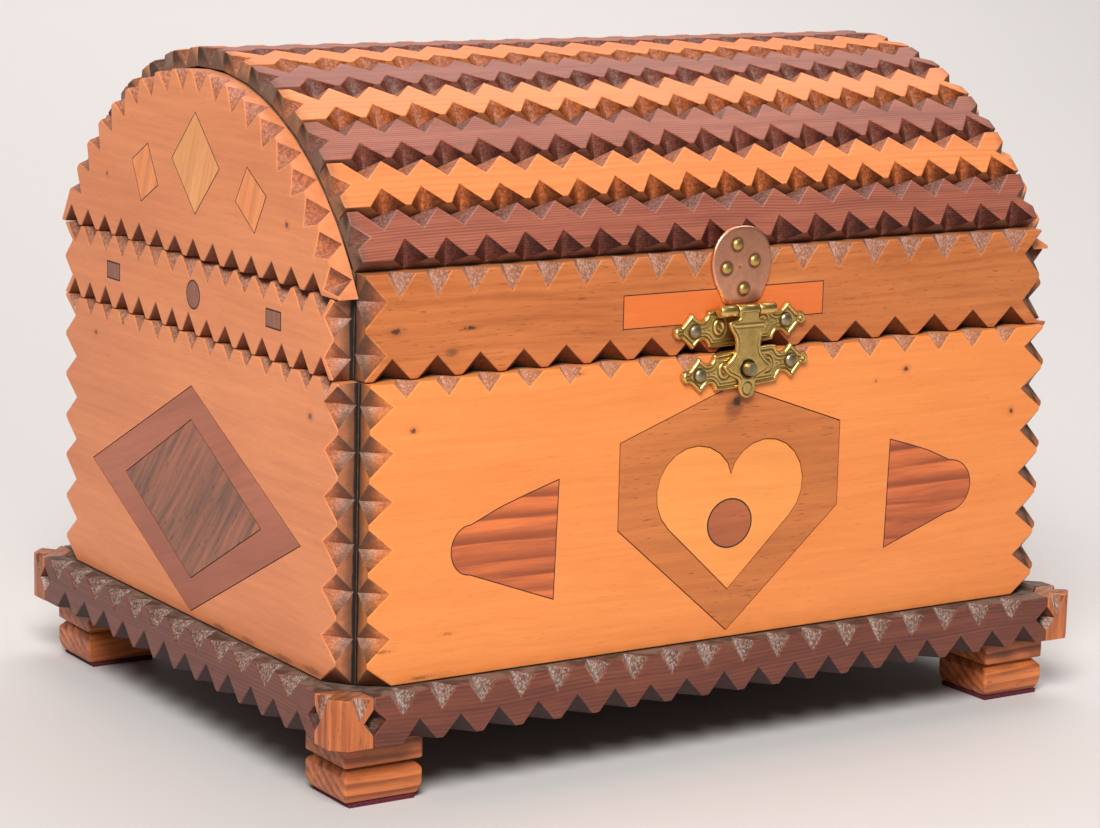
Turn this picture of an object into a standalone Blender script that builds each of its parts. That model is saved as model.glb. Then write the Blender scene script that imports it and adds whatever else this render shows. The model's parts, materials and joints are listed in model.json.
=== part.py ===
"""Chip-carved trinket box with a domed, hinged lid.

Lengths are in metres, +Z is up, the front faces -Y and the floor is at zero.
"""
import math
import random

import bmesh
import bpy
from mathutils import Matrix, Vector

for old in list(bpy.data.objects):
    bpy.data.objects.remove(old, do_unlink=True)

# Gap between pieces that touch
fit_gap = 0.0003

# Box, measured over its boards
box_width = 0.230
box_depth = 0.168
box_height = 0.0814
board_thickness = 0.007
plate_thickness = 0.006

# Base
base_thickness = 0.0137
strip_thickness = 0.0064
block_leg = 0.0114
block_chamfer = 0.0038

# Feet and felt
left_foot_width = 0.024
right_foot_width = 0.022
foot_depth = 0.022
foot_height = 0.0165
foot_groove_depth = 0.0022
foot_groove_half = 0.0016
foot_groove_drop = 0.0075
foot_chamfer_height = 0.004
foot_chamfer_inset = 0.0027
felt_size = 0.020
felt_thickness = 0.0012

# Lid
lid_setback = 0.003
rim_height = 0.028
side_rim_height = 0.0213

# Dome of slats
slat_count = 13
dome_half_sweep = math.radians(58.8)
slat_thickness = 0.0055
slat_gap = 0.00036
slat_inset = 0.0004
end_board_steps = 16

# Notches: what is left under each one, and how far the hand wanders
notch_land = 0.0004
mark_wander = 0.00035
apex_wander = 0.0004
reach_wander = 0.00035

# Notches in the box plates
plate_top_pitch = 0.0127
plate_top_flat = 0.0048
plate_top_reach = 0.0046
plate_top_first = 0.0044
plate_top_last = 0.008
side_plate_top_pitch = 0.0112
side_plate_top_flat = 0.0043
side_plate_top_margin = 0.0009
plate_end_pitch = 0.0125
plate_end_flat = 0.0009
plate_end_reach = 0.0075

# Notches in the lid rims
rim_top_pitch = 0.0122
rim_top_flat = 0.003
rim_top_reach = 0.0068
rim_top_first = 0.0046
rim_top_last = 0.0038
rim_top_drift = 0.0045
rim_bottom_pitch = 0.0142
rim_bottom_flat = 0.002
rim_bottom_reach = 0.0058
rim_bottom_first = 0.0014
rim_bottom_last = 0.003
rim_bottom_drift = -0.0028
rim_end_pitch = 0.014
rim_end_flat = 0.0008
rim_end_reach = 0.0065
side_rim_pitch = 0.0109
side_rim_flat = 0.0016
side_rim_reach = 0.0058
side_rim_margin = 0.001
side_rim_end_pitch = 0.0107
side_rim_end_reach = 0.0048

# Notches in the end panels
panel_arc_pitch = 0.0105
panel_arc_flat = 0.0018
panel_arc_reach = 0.0066
panel_bottom_pitch = 0.0118
panel_bottom_flat = 0.0016
panel_bottom_reach = 0.0055
panel_front_margin = 0.0082
panel_back_margin = 0.0012

# Notches in the slats
slat_lower_pitch = 0.0125
slat_lower_flat = 0.0012
slat_lower_reach = 0.0063
slat_lower_first = 0.0076
slat_lower_last = 0.0008
slat_upper_pitch = 0.0123
slat_upper_reach = 0.0058
slat_upper_first = 0.0038
slat_upper_last = 0.0048
slat_start_wander = 0.0012
slat_end_half = 0.0036
slat_end_reach = 0.0048

# Notches in the base strips and corner blocks
strip_pitch = 0.0123
side_strip_pitch = 0.0134
strip_flats = (0.0038, 0.0020)
strip_reaches = (0.0062, 0.0062)
side_strip_flats = (0.0024, 0.0006)
side_strip_reaches = (0.0056, 0.0066)
strip_near_margin = 0.0024
strip_far_margin = 0.008
strip_end_half = 0.0036
strip_end_reach = 0.004
block_notch_half = 0.0028
block_notch_reach = 0.0034
block_notch_drop = 0.0062

# Inlays in the front plate
inlay_thickness = 0.0015
shield_centre = 0.0017
shield_half_width = 0.0378
shield_top_margin = 0.009
shield_tip_margin = 0.0022
shield_shoulder_drop = 0.0133
shield_skirt_rise = 0.0325
heart_lobe_radius = 0.013
heart_lobe_offset = 0.0121
heart_lobe_height = 0.043
heart_tip_height = 0.0141
heart_cleft_height = 0.0467
heart_steps = 12

# Inlays in the left plate
diamond_bottom_margin = 0.0017
diamond_half_length = 0.0643
diamond_half_rise = 0.0325
centre_half_length = 0.0419
centre_half_rise = 0.0228

# Hasp, its plates and the copper plate
metal_thickness = 0.0009
copper_thickness = 0.001
hardware_centre = 0.0046
hasp_axis_rise = 0.0119
hasp_barrel_radius = 0.0017
hasp_barrel_length = 0.019
hasp_knuckle_length = 0.007
hasp_half_width = 0.0085
hasp_tail = 0.0085
hasp_hole_radius = 0.0025
stud_clearance = 0.00045
stud_end_radius = 0.0017
stud_length = 0.0035
upper_plate_half_length = 0.0228
lower_plate_half_length = 0.0218
ornament_half_height = 0.0055
upper_plate_rise = 0.0016
upper_plate_tilt = math.radians(2.4)
lower_plate_rise = 0.0014
lower_plate_tilt = math.radians(3.8)
nail_offset = 0.0156
nail_radius = 0.0019
nail_height = 0.0011
nail_taper = 0.6
copper_width = 0.0203
copper_height = 0.0217
copper_gap = 0.0006
copper_nails = ((-0.0022, 0.0049), (0.0039, 0.0097), (-0.0056, 0.0114), (0.0005, 0.0175))
round_sides = 10
nail_sides = 8

# Lid hinges
hinge_inset = 0.045
hinge_leaf_width = 0.025
hinge_leaf_height = 0.016
hinge_leaf_thickness = 0.001
hinge_knuckle_radius = 0.0022
hinge_knuckle_count = 3
tongue_inset = 0.0002
tongue_drop = 0.0006

# Levels and faces that follow from the sizes
foot_bottom = felt_thickness + fit_gap
foot_top = foot_bottom + foot_height
base_bottom = foot_top + fit_gap
base_top = base_bottom + base_thickness
box_bottom = base_top + fit_gap
box_top = box_bottom + box_height
lid_bottom = box_top + fit_gap
rim_top = lid_bottom + rim_height
panel_bottom = lid_bottom + side_rim_height + fit_gap
half_width = box_width / 2
half_depth = box_depth / 2
lid_depth = box_depth - lid_setback
lid_half_depth = lid_depth / 2
lid_shift = half_depth - lid_half_depth
face_x = half_width + fit_gap + plate_thickness
face_y = half_depth + fit_gap + plate_thickness
lid_face_y = lid_shift - lid_half_depth - fit_gap - plate_thickness
strip_x = face_x + fit_gap
strip_y = face_y + fit_gap
outer_x = strip_x + strip_thickness
outer_y = strip_y + strip_thickness

# Dome geometry: flat slats laid side by side round one centre line
slat_turn = 2 * dome_half_sweep / slat_count
slat_first = math.pi / 2 - (slat_count - 1) / 2 * slat_turn
slat_rise = math.cos(slat_first) + math.tan(slat_turn / 2) * math.sin(slat_first)
slat_reach = lid_half_depth - slat_inset + slat_gap / 2 * math.sin(slat_first)
dome_radius = slat_reach / slat_rise
slat_width = 2 * dome_radius * math.tan(slat_turn / 2) - slat_gap
slat_foot = dome_radius * math.sin(slat_first) - slat_width / 2 * math.cos(slat_first)
dome_centre = Vector((0.0, lid_shift, rim_top + fit_gap - slat_foot))
arch_radius = dome_radius - fit_gap

# Joint axes; the hasp hangs just clear of its lower plate
hinge_axis_y = face_y + fit_gap + hinge_knuckle_radius
hinge_axis_z = (box_top + lid_bottom) / 2
hasp_axis_y = hasp_barrel_radius - face_y - 2 * (fit_gap + metal_thickness)
hasp_axis_z = lid_bottom + hasp_axis_rise


# Helpers

def axes(x_axis, y_axis, z_axis, spot):
    """Turn and place a piece by its own three directions."""
    matrix = Matrix((x_axis, y_axis, z_axis)).transposed().to_4x4()
    matrix.translation = Vector(spot)
    return matrix


def facing(side, spot):
    """Local X runs along the board, local Y up and local Z out of the box."""
    along = {"front": (1, 0, 0), "back": (-1, 0, 0), "left": (0, -1, 0), "right": (0, 1, 0)}[side]
    out = {"front": (0, -1, 0), "back": (0, 1, 0), "left": (-1, 0, 0), "right": (1, 0, 0)}[side]
    return axes(along, (0, 0, 1), out, spot)


def finish(bm, name):
    bmesh.ops.recalc_face_normals(bm, faces=bm.faces)
    mesh = bpy.data.meshes.new(name)
    bm.to_mesh(mesh)
    bm.free()
    return mesh


def slab(width, depth, height):
    """A plain rectangular board, its middle at the local origin."""
    bm = bmesh.new()
    bmesh.ops.create_cube(bm, size=1.0)
    bmesh.ops.scale(bm, vec=(width, depth, height), verts=bm.verts)
    return finish(bm, "slab")


def prism(outline, low, high):
    """A flat outline in local X and Y, extruded along local Z."""
    bm = bmesh.new()
    corners = [bm.verts.new((x, y, low)) for x, y in outline]
    face = bm.faces.new(corners)
    raised = bmesh.ops.extrude_face_region(bm, geom=[face])
    moved = [item for item in raised["geom"] if isinstance(item, bmesh.types.BMVert)]
    bmesh.ops.translate(bm, vec=(0, 0, high - low), verts=moved)
    return finish(bm, "prism")


def stack(width, depth, levels):
    """Rectangular rings, each an inset and a height, joined from bottom to top."""
    bm = bmesh.new()
    rings = []
    for inset, height in levels:
        x = width / 2 - inset
        y = depth / 2 - inset
        corners = ((-x, -y), (x, -y), (x, y), (-x, y))
        rings.append([bm.verts.new((*corner, height)) for corner in corners])
    for lower, upper in zip(rings, rings[1:]):
        for i in range(4):
            bm.faces.new((lower[i], lower[(i + 1) % 4], upper[(i + 1) % 4], upper[i]))
    bm.faces.new(rings[0][::-1])
    bm.faces.new(rings[-1])
    return finish(bm, "stack")


def rods(places, sides=round_sides):
    """Round bars and nail heads: start, end, radius at the start and at the end of each."""
    bm = bmesh.new()
    for start, end, first_radius, last_radius in places:
        start = Vector(start)
        run = Vector(end) - start
        turn = Vector((0, 0, 1)).rotation_difference(run).to_matrix().to_4x4()
        half_step = Matrix.Rotation(math.pi / sides, 4, "Z")
        middle = Matrix.Translation(start + run / 2)
        bmesh.ops.create_cone(
            bm,
            cap_ends=True,
            segments=sides,
            radius1=first_radius,
            radius2=last_radius,
            depth=run.length,
            matrix=middle @ turn @ half_step,
        )
    return finish(bm, "rods")


def paint(name, look):
    colour, roughness, metallic = look
    material = bpy.data.materials.new(name)
    material.use_nodes = True
    shader = material.node_tree.nodes["Principled BSDF"]
    shader.inputs["Base Color"].default_value = (*colour, 1.0)
    shader.inputs["Roughness"].default_value = roughness
    shader.inputs["Metallic"].default_value = metallic
    return material


def place(name, mesh, matrix, look, axis=None):
    """One piece of the box, carried by a joint's axis if it moves."""
    mesh.name = name
    piece = bpy.data.objects.new(name, mesh)
    bpy.context.scene.collection.objects.link(piece)
    mesh.materials.append(paint(name, look))
    if axis is not None:
        piece.parent = axis
        piece.matrix_parent_inverse = Matrix.Translation(-axis.location)
    piece.matrix_basis = matrix
    return piece


def tool(name, mesh, matrix):
    """A hidden shape that another piece is cut with or joined to."""
    shape = bpy.data.objects.new(name, mesh)
    bpy.context.scene.collection.objects.link(shape)
    shape.matrix_basis = matrix
    shape.hide_render = True
    shape.display_type = "WIRE"
    return shape


def combine(piece, shape, operation):
    step = piece.modifiers.new(shape.name, "BOOLEAN")
    step.object = shape
    step.operation = operation
    step.solver = "EXACT"


def joint_axis(name, spot):
    axis = bpy.data.objects.new(name, None)
    bpy.context.scene.collection.objects.link(axis)
    axis.location = spot
    return axis


# Notched boards

def notch_row(length, pitch, flat, reach, drop, hand, first=0.0, last=0.0, drift=0.0):
    """Cuts along an edge, each with its start, apex, end, reach on the face and drop.

    Drift is how far the middle of the row has wandered along the edge.
    """
    run = length - first - last
    count = max(1, round(run / pitch))
    marks = []
    for i in range(count + 1):
        share = i / count
        marks.append(first + run * share + 4 * drift * share * (1 - share))
    for i in range(1, count):
        marks[i] += hand.uniform(-mark_wander, mark_wander)
    cuts = []
    for start, end in zip(marks, marks[1:]):
        apex = (start + end) / 2 + hand.uniform(-apex_wander, apex_wander)
        deep = reach + hand.uniform(-reach_wander, reach_wander)
        cuts.append((start + flat / 2, apex, end - flat / 2, deep, drop))
    return cuts


def single_notch(middle, half, reach, drop, hand):
    apex = middle + hand.uniform(-apex_wander, apex_wander)
    return [(middle - half, apex, middle + half, reach, drop)]


def edge(start, end, cuts=(), snip=None):
    """One side of a board's outline; a snip cuts off its first corner."""
    return {"start": Vector(start), "end": Vector(end), "cuts": list(cuts), "snip": snip}


def notched_board(name, edges, thickness):
    """A flat board, back at local zero, with three-cornered notches along its front edges.

    Each notch starts and ends on the edge. Its apex lies on the face, and its valley runs from
    there down the board's thickness. A snip is half such a notch at a corner.
    """
    bm = bmesh.new()
    known = {}

    def corner(point, height):
        key = (round(point[0], 7), round(point[1], 7), round(height, 7))
        if key not in known:
            known[key] = bm.verts.new((point[0], point[1], height))
        return known[key]

    def close(points):
        loop = []
        for point in points:
            if not loop or point is not loop[-1]:
                loop.append(point)
        if loop[0] is loop[-1]:
            loop.pop()
        bm.faces.new(loop)

    front = []
    for i, item in enumerate(edges):
        start, end, snip = item["start"], item["end"], item["snip"]
        along = (end - start).normalized()
        inward = Vector((-along.y, along.x))
        wall = []
        if snip:
            valley = corner(start, thickness - snip[2])
            before = edges[i - 1]
            back_along = (before["end"] - before["start"]).normalized()
            arrive = corner(start - back_along * snip[0], thickness)
            leave = corner(start + along * snip[1], thickness)
            close([arrive, valley, leave])
            wall += [valley, leave]
            front.append(leave)
        else:
            wall.append(corner(start, thickness))
            front.append(corner(start, thickness))
        for first, apex, last, reach, drop in item["cuts"]:
            a = corner(start + along * first, thickness)
            b = corner(start + along * last, thickness)
            tip = corner(start + along * apex + inward * reach, thickness)
            low = corner(start + along * apex, thickness - drop)
            close([a, tip, low])
            close([tip, b, low])
            wall += [a, low, b]
            front += [a, tip, b]
        following = edges[(i + 1) % len(edges)]
        ahead = following["snip"]
        if ahead:
            arrive = corner(end - along * ahead[0], thickness)
            wall += [arrive, corner(end, thickness - ahead[2])]
            front.append(arrive)
        else:
            wall.append(corner(end, thickness))
        close(wall + [corner(end, 0.0), corner(start, 0.0)])
    close(front)
    close([corner(item["start"], 0.0) for item in reversed(edges)])
    return finish(bm, name)


def board_edges(length, height, bottom=(), right=(), top=(), left=(), snips=(None, None)):
    """A rectangle, standing on the middle of its bottom edge."""
    half = length / 2
    return [
        edge((-half, 0), (half, 0), bottom, snips[0]),
        edge((half, 0), (half, height), right, snips[1]),
        edge((half, height), (-half, height), top),
        edge((-half, height), (-half, 0), left),
    ]


def grow(outline, distance):
    """The same outline, moved outward all round; it runs anticlockwise."""
    grown = []
    for i, point in enumerate(outline):
        here = Vector(point)
        into = (here - Vector(outline[i - 1])).normalized()
        out_of = (Vector(outline[(i + 1) % len(outline)]) - here).normalized()
        into_side = Vector((into.y, -into.x))
        out_side = Vector((out_of.y, -out_of.x))
        mean = (into_side + out_side).normalized()
        grown.append(here + mean * (distance / mean.dot(into_side)))
    return [(point.x, point.y) for point in grown]


def four_way(quarter):
    """A quarter outline, from the tip on +X to the middle of +Y, mirrored both ways."""
    upper = list(quarter) + [(-x, y) for x, y in reversed(quarter[:-1])]
    return upper + [(x, -y) for x, y in reversed(upper[1:-1])]


# Colours, roughness and metallic values
maple = ((0.80, 0.34, 0.11), 0.42, 0.0)
orange_wood = ((0.60, 0.24, 0.09), 0.42, 0.0)
rim_wood = ((0.42, 0.15, 0.045), 0.42, 0.0)
dark_wood = ((0.19, 0.052, 0.036), 0.42, 0.0)
plain_wood = ((0.50, 0.27, 0.13), 0.6, 0.0)
shield_wood = ((0.33, 0.14, 0.05), 0.45, 0.0)
frame_wood = ((0.30, 0.08, 0.04), 0.45, 0.0)
walnut = ((0.09, 0.042, 0.025), 0.5, 0.0)
brass = ((0.52, 0.36, 0.10), 0.35, 1.0)
copper = ((0.62, 0.27, 0.16), 0.4, 1.0)
felt = ((0.12, 0.008, 0.025), 0.95, 0.0)

lid_axis = joint_axis("lid_axis", (0.0, hinge_axis_y, hinge_axis_z))
hasp_axis = joint_axis("hasp_axis", (hardware_centre, hasp_axis_y, hasp_axis_z))

# Base board, its corners cut off along the corner blocks
mitre = block_leg - strip_thickness + fit_gap * (math.sqrt(2) - 2)
base_outline = []
for sx, sy in ((-1, -1), (1, -1), (1, 1), (-1, 1)):
    cut = [(sx * (face_x - mitre), sy * face_y), (sx * face_x, sy * (face_y - mitre))]
    base_outline += cut if sx * sy < 0 else cut[::-1]
base_mesh = prism(base_outline, base_bottom, base_top)
place("base_board", base_mesh, Matrix.Identity(4), dark_wood)

# Base strips
strip_drop = strip_thickness - notch_land
for number, side in enumerate(("front", "right", "back", "left")):
    hand = random.Random(100 + number)
    lengthwise = side in ("front", "back")
    reach_out = outer_x if lengthwise else outer_y
    length = 2 * (reach_out - block_leg - fit_gap)
    pitch = strip_pitch if lengthwise else side_strip_pitch
    top_flat, bottom_flat = strip_flats if lengthwise else side_strip_flats
    top_reach, bottom_reach = strip_reaches if lengthwise else side_strip_reaches
    spot = {
        "front": (0, -strip_y, base_bottom),
        "back": (0, strip_y, base_bottom),
        "left": (-strip_x, 0, base_bottom),
        "right": (strip_x, 0, base_bottom),
    }[side]
    middle = base_thickness / 2
    top = notch_row(
        length, pitch, top_flat, top_reach, strip_drop, hand, strip_far_margin, strip_near_margin
    )
    bottom = notch_row(
        length, pitch, bottom_flat, bottom_reach, strip_drop, hand, strip_far_margin, strip_near_margin
    )
    ends = [single_notch(middle, strip_end_half, strip_end_reach, strip_drop, hand) for _ in range(2)]
    edges = board_edges(length, base_thickness, bottom, ends[0], top, ends[1])
    mesh = notched_board("strip", edges, strip_thickness)
    place("base_strip_" + side, mesh, facing(side, spot), dark_wood)

# Corner blocks, seen from above, and the feet and felt pads under them
block_outline = [
    (block_leg, strip_thickness),
    (strip_thickness, block_leg),
    (0.0, block_leg),
    (0.0, block_chamfer),
    (block_chamfer, 0.0),
    (block_leg, 0.0),
]
groove_middle = foot_height - foot_groove_drop
foot_levels = [
    (foot_chamfer_inset, 0.0),
    (0.0, foot_chamfer_height),
    (0.0, groove_middle - foot_groove_half),
    (foot_groove_depth, groove_middle),
    (0.0, groove_middle + foot_groove_half),
    (0.0, foot_height),
]
for number, (place_name, sx, sy) in enumerate(
    (("front_left", -1, -1), ("front_right", 1, -1), ("back_right", 1, 1), ("back_left", -1, 1))
):
    hand = random.Random(200 + number)
    flat_length = block_leg - block_chamfer
    notches = {}
    for flat_edge in (2, 4):
        notches[flat_edge] = single_notch(
            flat_length / 2, block_notch_half, block_notch_reach, block_notch_drop, hand
        )
    points = [(sx * (outer_x - u), sy * (outer_y - v)) for u, v in block_outline]
    mirrored = sx * sy < 0
    edges = []
    for i, start in enumerate(points):
        end = points[(i + 1) % len(points)]
        if mirrored:
            edges.insert(0, edge(end, start, notches.get(i, ())))
        else:
            edges.append(edge(start, end, notches.get(i, ())))
    mesh = notched_board("block", edges, base_thickness)
    place("corner_block_" + place_name, mesh, Matrix.Translation((0, 0, base_bottom)), orange_wood)
    foot_width = left_foot_width if sx < 0 else right_foot_width
    foot_spot = Vector((sx * (face_x - foot_width / 2), sy * (face_y - foot_depth / 2), foot_bottom))
    foot_mesh = stack(foot_width, foot_depth, foot_levels)
    place("foot_" + place_name, foot_mesh, Matrix.Translation(foot_spot), orange_wood)
    felt_spot = Vector((foot_spot.x, foot_spot.y, felt_thickness / 2))
    felt_mesh = slab(felt_size, felt_size, felt_thickness)
    place("felt_pad_" + place_name, felt_mesh, Matrix.Translation(felt_spot), felt)

# Boards of the box
between = box_depth - 2 * board_thickness - 2 * fit_gap
box_middle = box_bottom + box_height / 2
for side, sign in (("front", -1), ("back", 1)):
    mesh = slab(box_width, board_thickness, box_height)
    spot = (0, sign * (half_depth - board_thickness / 2), box_middle)
    place("box_board_" + side, mesh, Matrix.Translation(spot), plain_wood)
for side, sign in (("left", -1), ("right", 1)):
    mesh = slab(board_thickness, between, box_height)
    spot = (sign * (half_width - board_thickness / 2), 0, box_middle)
    place("box_board_" + side, mesh, Matrix.Translation(spot), plain_wood)

# Carved plates on the box, with half a notch at each bottom corner
plate_drop = plate_thickness - notch_land
plates = {}
for number, side in enumerate(("front", "right", "back", "left")):
    hand = random.Random(300 + number)
    lengthwise = side in ("front", "back")
    length = box_width if lengthwise else box_depth
    pitch = plate_top_pitch if lengthwise else side_plate_top_pitch
    flat = plate_top_flat if lengthwise else side_plate_top_flat
    first = plate_top_first if lengthwise else side_plate_top_margin
    last = plate_top_last if lengthwise else side_plate_top_margin
    full_notches = max(1, round(box_height / plate_end_pitch - 0.5))
    end_step = box_height / (full_notches + 0.5)
    half_notch = (end_step - plate_end_flat) / 2
    top = notch_row(length, pitch, flat, plate_top_reach, plate_drop, hand, last, first)
    right = notch_row(
        box_height, end_step, plate_end_flat, plate_end_reach, plate_drop, hand, end_step / 2, 0.0
    )
    left = notch_row(
        box_height, end_step, plate_end_flat, plate_end_reach, plate_drop, hand, 0.0, end_step / 2
    )
    snips = ((half_notch, plate_end_reach, plate_drop), (plate_end_reach, half_notch, plate_drop))
    edges = board_edges(length, box_height, (), right, top, left, snips)
    spot = {
        "front": (0, -half_depth - fit_gap, box_bottom),
        "back": (0, half_depth + fit_gap, box_bottom),
        "left": (-half_width - fit_gap, 0, box_bottom),
        "right": (half_width + fit_gap, 0, box_bottom),
    }[side]
    look = maple if side == "front" else orange_wood
    mesh = notched_board("plate", edges, plate_thickness)
    plates[side] = place("carved_" + side, mesh, facing(side, spot), look)

# Shield and heart, let into the front plate
pocket_floor = plate_thickness - inlay_thickness - fit_gap
inlay_floor = plate_thickness - inlay_thickness
above = plate_thickness + inlay_thickness
shield_outline = [
    (shield_centre, shield_tip_margin),
    (shield_centre + shield_half_width, shield_tip_margin + shield_skirt_rise),
    (shield_centre + shield_half_width, box_height - shield_top_margin - shield_shoulder_drop),
    (shield_centre, box_height - shield_top_margin),
    (shield_centre - shield_half_width, box_height - shield_top_margin - shield_shoulder_drop),
    (shield_centre - shield_half_width, shield_tip_margin + shield_skirt_rise),
]
half_heart = []
lobe_fall = heart_lobe_height - heart_tip_height
lobe_far = math.hypot(heart_lobe_offset, lobe_fall)
cleft_rise = heart_cleft_height - heart_lobe_height
cleft_turn = math.acos(-heart_lobe_offset / math.hypot(heart_lobe_offset, cleft_rise))
start_turn = math.atan2(-lobe_fall, -heart_lobe_offset) + math.acos(heart_lobe_radius / lobe_far)
for i in range(heart_steps + 1):
    turn = start_turn + (cleft_turn - start_turn) * i / heart_steps
    half_heart.append(
        (
            heart_lobe_offset + heart_lobe_radius * math.cos(turn),
            heart_lobe_height + heart_lobe_radius * math.sin(turn),
        )
    )
half_heart[-1] = (0.0, heart_cleft_height)
heart_outline = [(0.0, heart_tip_height)] + half_heart
heart_outline += [(-x, y) for x, y in reversed(half_heart[:-1])]
heart_outline = [(x + shield_centre, y) for x, y in heart_outline]
front_frame = facing("front", (0, -half_depth - fit_gap, box_bottom))
pocket = tool("shield_pocket", prism(grow(shield_outline, fit_gap), pocket_floor, above), front_frame)
combine(plates["front"], pocket, "DIFFERENCE")
shield_mesh = prism(shield_outline, inlay_floor, plate_thickness)
shield = place("shield_inlay", shield_mesh, front_frame, shield_wood)
heart_hole = tool("heart_hole", prism(grow(heart_outline, fit_gap), 0.0, above), front_frame)
combine(shield, heart_hole, "DIFFERENCE")
heart_mesh = prism(heart_outline, inlay_floor, plate_thickness)
place("heart_inlay", heart_mesh, front_frame, maple)


# Diamond and its dark centre, let into the left plate

def rhombus(half_length, half_rise):
    middle = diamond_bottom_margin + diamond_half_rise
    right_and_top = [(half_length, middle), (0.0, middle + half_rise)]
    return right_and_top + [(-half_length, middle), (0.0, middle - half_rise)]


left_frame = facing("left", (-half_width - fit_gap, 0, box_bottom))
diamond_outline = rhombus(diamond_half_length, diamond_half_rise)
centre_outline = rhombus(centre_half_length, centre_half_rise)
pocket = tool("diamond_pocket", prism(grow(diamond_outline, fit_gap), pocket_floor, above), left_frame)
combine(plates["left"], pocket, "DIFFERENCE")
diamond_mesh = prism(diamond_outline, inlay_floor, plate_thickness)
diamond = place("diamond_frame_inlay", diamond_mesh, left_frame, frame_wood)
centre_hole = tool("centre_hole", prism(grow(centre_outline, fit_gap), 0.0, above), left_frame)
combine(diamond, centre_hole, "DIFFERENCE")
place("diamond_centre_inlay", prism(centre_outline, inlay_floor, plate_thickness), left_frame, walnut)

# Lid boards and round-topped end boards
for side, sign in (("front", -1), ("back", 1)):
    mesh = slab(box_width, board_thickness, rim_height)
    spot = (0, lid_shift + sign * (lid_half_depth - board_thickness / 2), lid_bottom + rim_height / 2)
    place("lid_board_" + side, mesh, Matrix.Translation(spot), plain_wood, lid_axis)
arch_rise = dome_centre.z - lid_bottom
end_half = lid_half_depth - board_thickness - fit_gap
end_sweep = math.asin(end_half / arch_radius)
end_outline = [(-end_half, 0.0), (end_half, 0.0)]
for i in range(end_board_steps + 1):
    turn = end_sweep - 2 * end_sweep * i / end_board_steps
    end_outline.append((arch_radius * math.sin(turn), arch_rise + arch_radius * math.cos(turn)))
for side, sign in (("left", -1), ("right", 1)):
    mesh = prism(end_outline, -board_thickness, 0.0)
    spot = (sign * half_width, lid_shift, lid_bottom)
    place("lid_end_board_" + side, mesh, facing(side, spot), plain_wood, lid_axis)

# Lid rims
for number, side in enumerate(("front", "back", "left", "right")):
    hand = random.Random(400 + number)
    if side in ("front", "back"):
        length = box_width
        height = rim_height
        top = notch_row(
            length,
            rim_top_pitch,
            rim_top_flat,
            rim_top_reach,
            plate_drop,
            hand,
            rim_top_last,
            rim_top_first,
            rim_top_drift,
        )
        bottom = notch_row(
            length,
            rim_bottom_pitch,
            rim_bottom_flat,
            rim_bottom_reach,
            plate_drop,
            hand,
            rim_bottom_first,
            rim_bottom_last,
            rim_bottom_drift,
        )
        ends = [
            notch_row(height, rim_end_pitch, rim_end_flat, rim_end_reach, plate_drop, hand) for _ in range(2)
        ]
    else:
        length = lid_depth
        height = side_rim_height
        rows = [
            notch_row(
                length,
                side_rim_pitch,
                side_rim_flat,
                side_rim_reach,
                plate_drop,
                hand,
                side_rim_margin,
                side_rim_margin,
            )
            for _ in range(2)
        ]
        top, bottom = rows
        ends = [
            notch_row(height, side_rim_end_pitch, rim_end_flat, side_rim_end_reach, plate_drop, hand)
            for _ in range(2)
        ]
    spot = {
        "front": (0, lid_shift - lid_half_depth - fit_gap, lid_bottom),
        "back": (0, lid_shift + lid_half_depth + fit_gap, lid_bottom),
        "left": (-half_width - fit_gap, lid_shift, lid_bottom),
        "right": (half_width + fit_gap, lid_shift, lid_bottom),
    }[side]
    mesh = notched_board("rim", board_edges(length, height, bottom, ends[0], top, ends[1]), plate_thickness)
    place("lid_rim_" + side, mesh, facing(side, spot), rim_wood, lid_axis)

# Round-topped end panels, notched round the arc and along the bottom
panel_rise = dome_centre.z - panel_bottom
panel_sweep = math.acos(-panel_rise / arch_radius)
panel_half = arch_radius * math.sin(panel_sweep)
arc_count = max(3, round(2 * panel_sweep * arch_radius / panel_arc_pitch))
arc_step = 2 * panel_sweep / arc_count
flat_turn = panel_arc_flat / arch_radius


def on_arc(turn):
    return (arch_radius * math.sin(turn), panel_rise + arch_radius * math.cos(turn))


for number, side in enumerate(("left", "right")):
    hand = random.Random(500 + number)
    bottom = notch_row(
        2 * panel_half,
        panel_bottom_pitch,
        panel_bottom_flat,
        panel_bottom_reach,
        plate_drop,
        hand,
        panel_back_margin if side == "left" else panel_front_margin,
        panel_front_margin if side == "left" else panel_back_margin,
    )
    edges = [edge(on_arc(-panel_sweep), on_arc(panel_sweep), bottom)]
    marks = [panel_sweep - arc_step * i for i in range(arc_count + 1)]
    for i in range(1, arc_count):
        marks[i] += hand.uniform(-mark_wander, mark_wander) / arch_radius
    reached = marks[0]
    # The bottom row runs out to the back corner, so the arc has no notch just above it
    plain = arc_count - 1 if side == "left" else 0
    for i, (start, end) in enumerate(zip(marks, marks[1:])):
        if i == plain:
            continue
        first = on_arc(start - flat_turn / 2)
        last = on_arc(end + flat_turn / 2)
        span = (Vector(last) - Vector(first)).length
        deep = panel_arc_reach + hand.uniform(-reach_wander, reach_wander)
        apex = span / 2 + hand.uniform(-apex_wander, apex_wander)
        edges.append(edge(on_arc(reached), first))
        edges.append(edge(first, last, [(0.0, apex, span, deep, plate_drop)]))
        reached = end + flat_turn / 2
    edges.append(edge(on_arc(reached), on_arc(marks[-1])))
    spot = ((-1 if side == "left" else 1) * (half_width + fit_gap), lid_shift, panel_bottom)
    mesh = notched_board("panel", edges, plate_thickness)
    place("end_panel_" + side, mesh, facing(side, spot), orange_wood, lid_axis)

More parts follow.
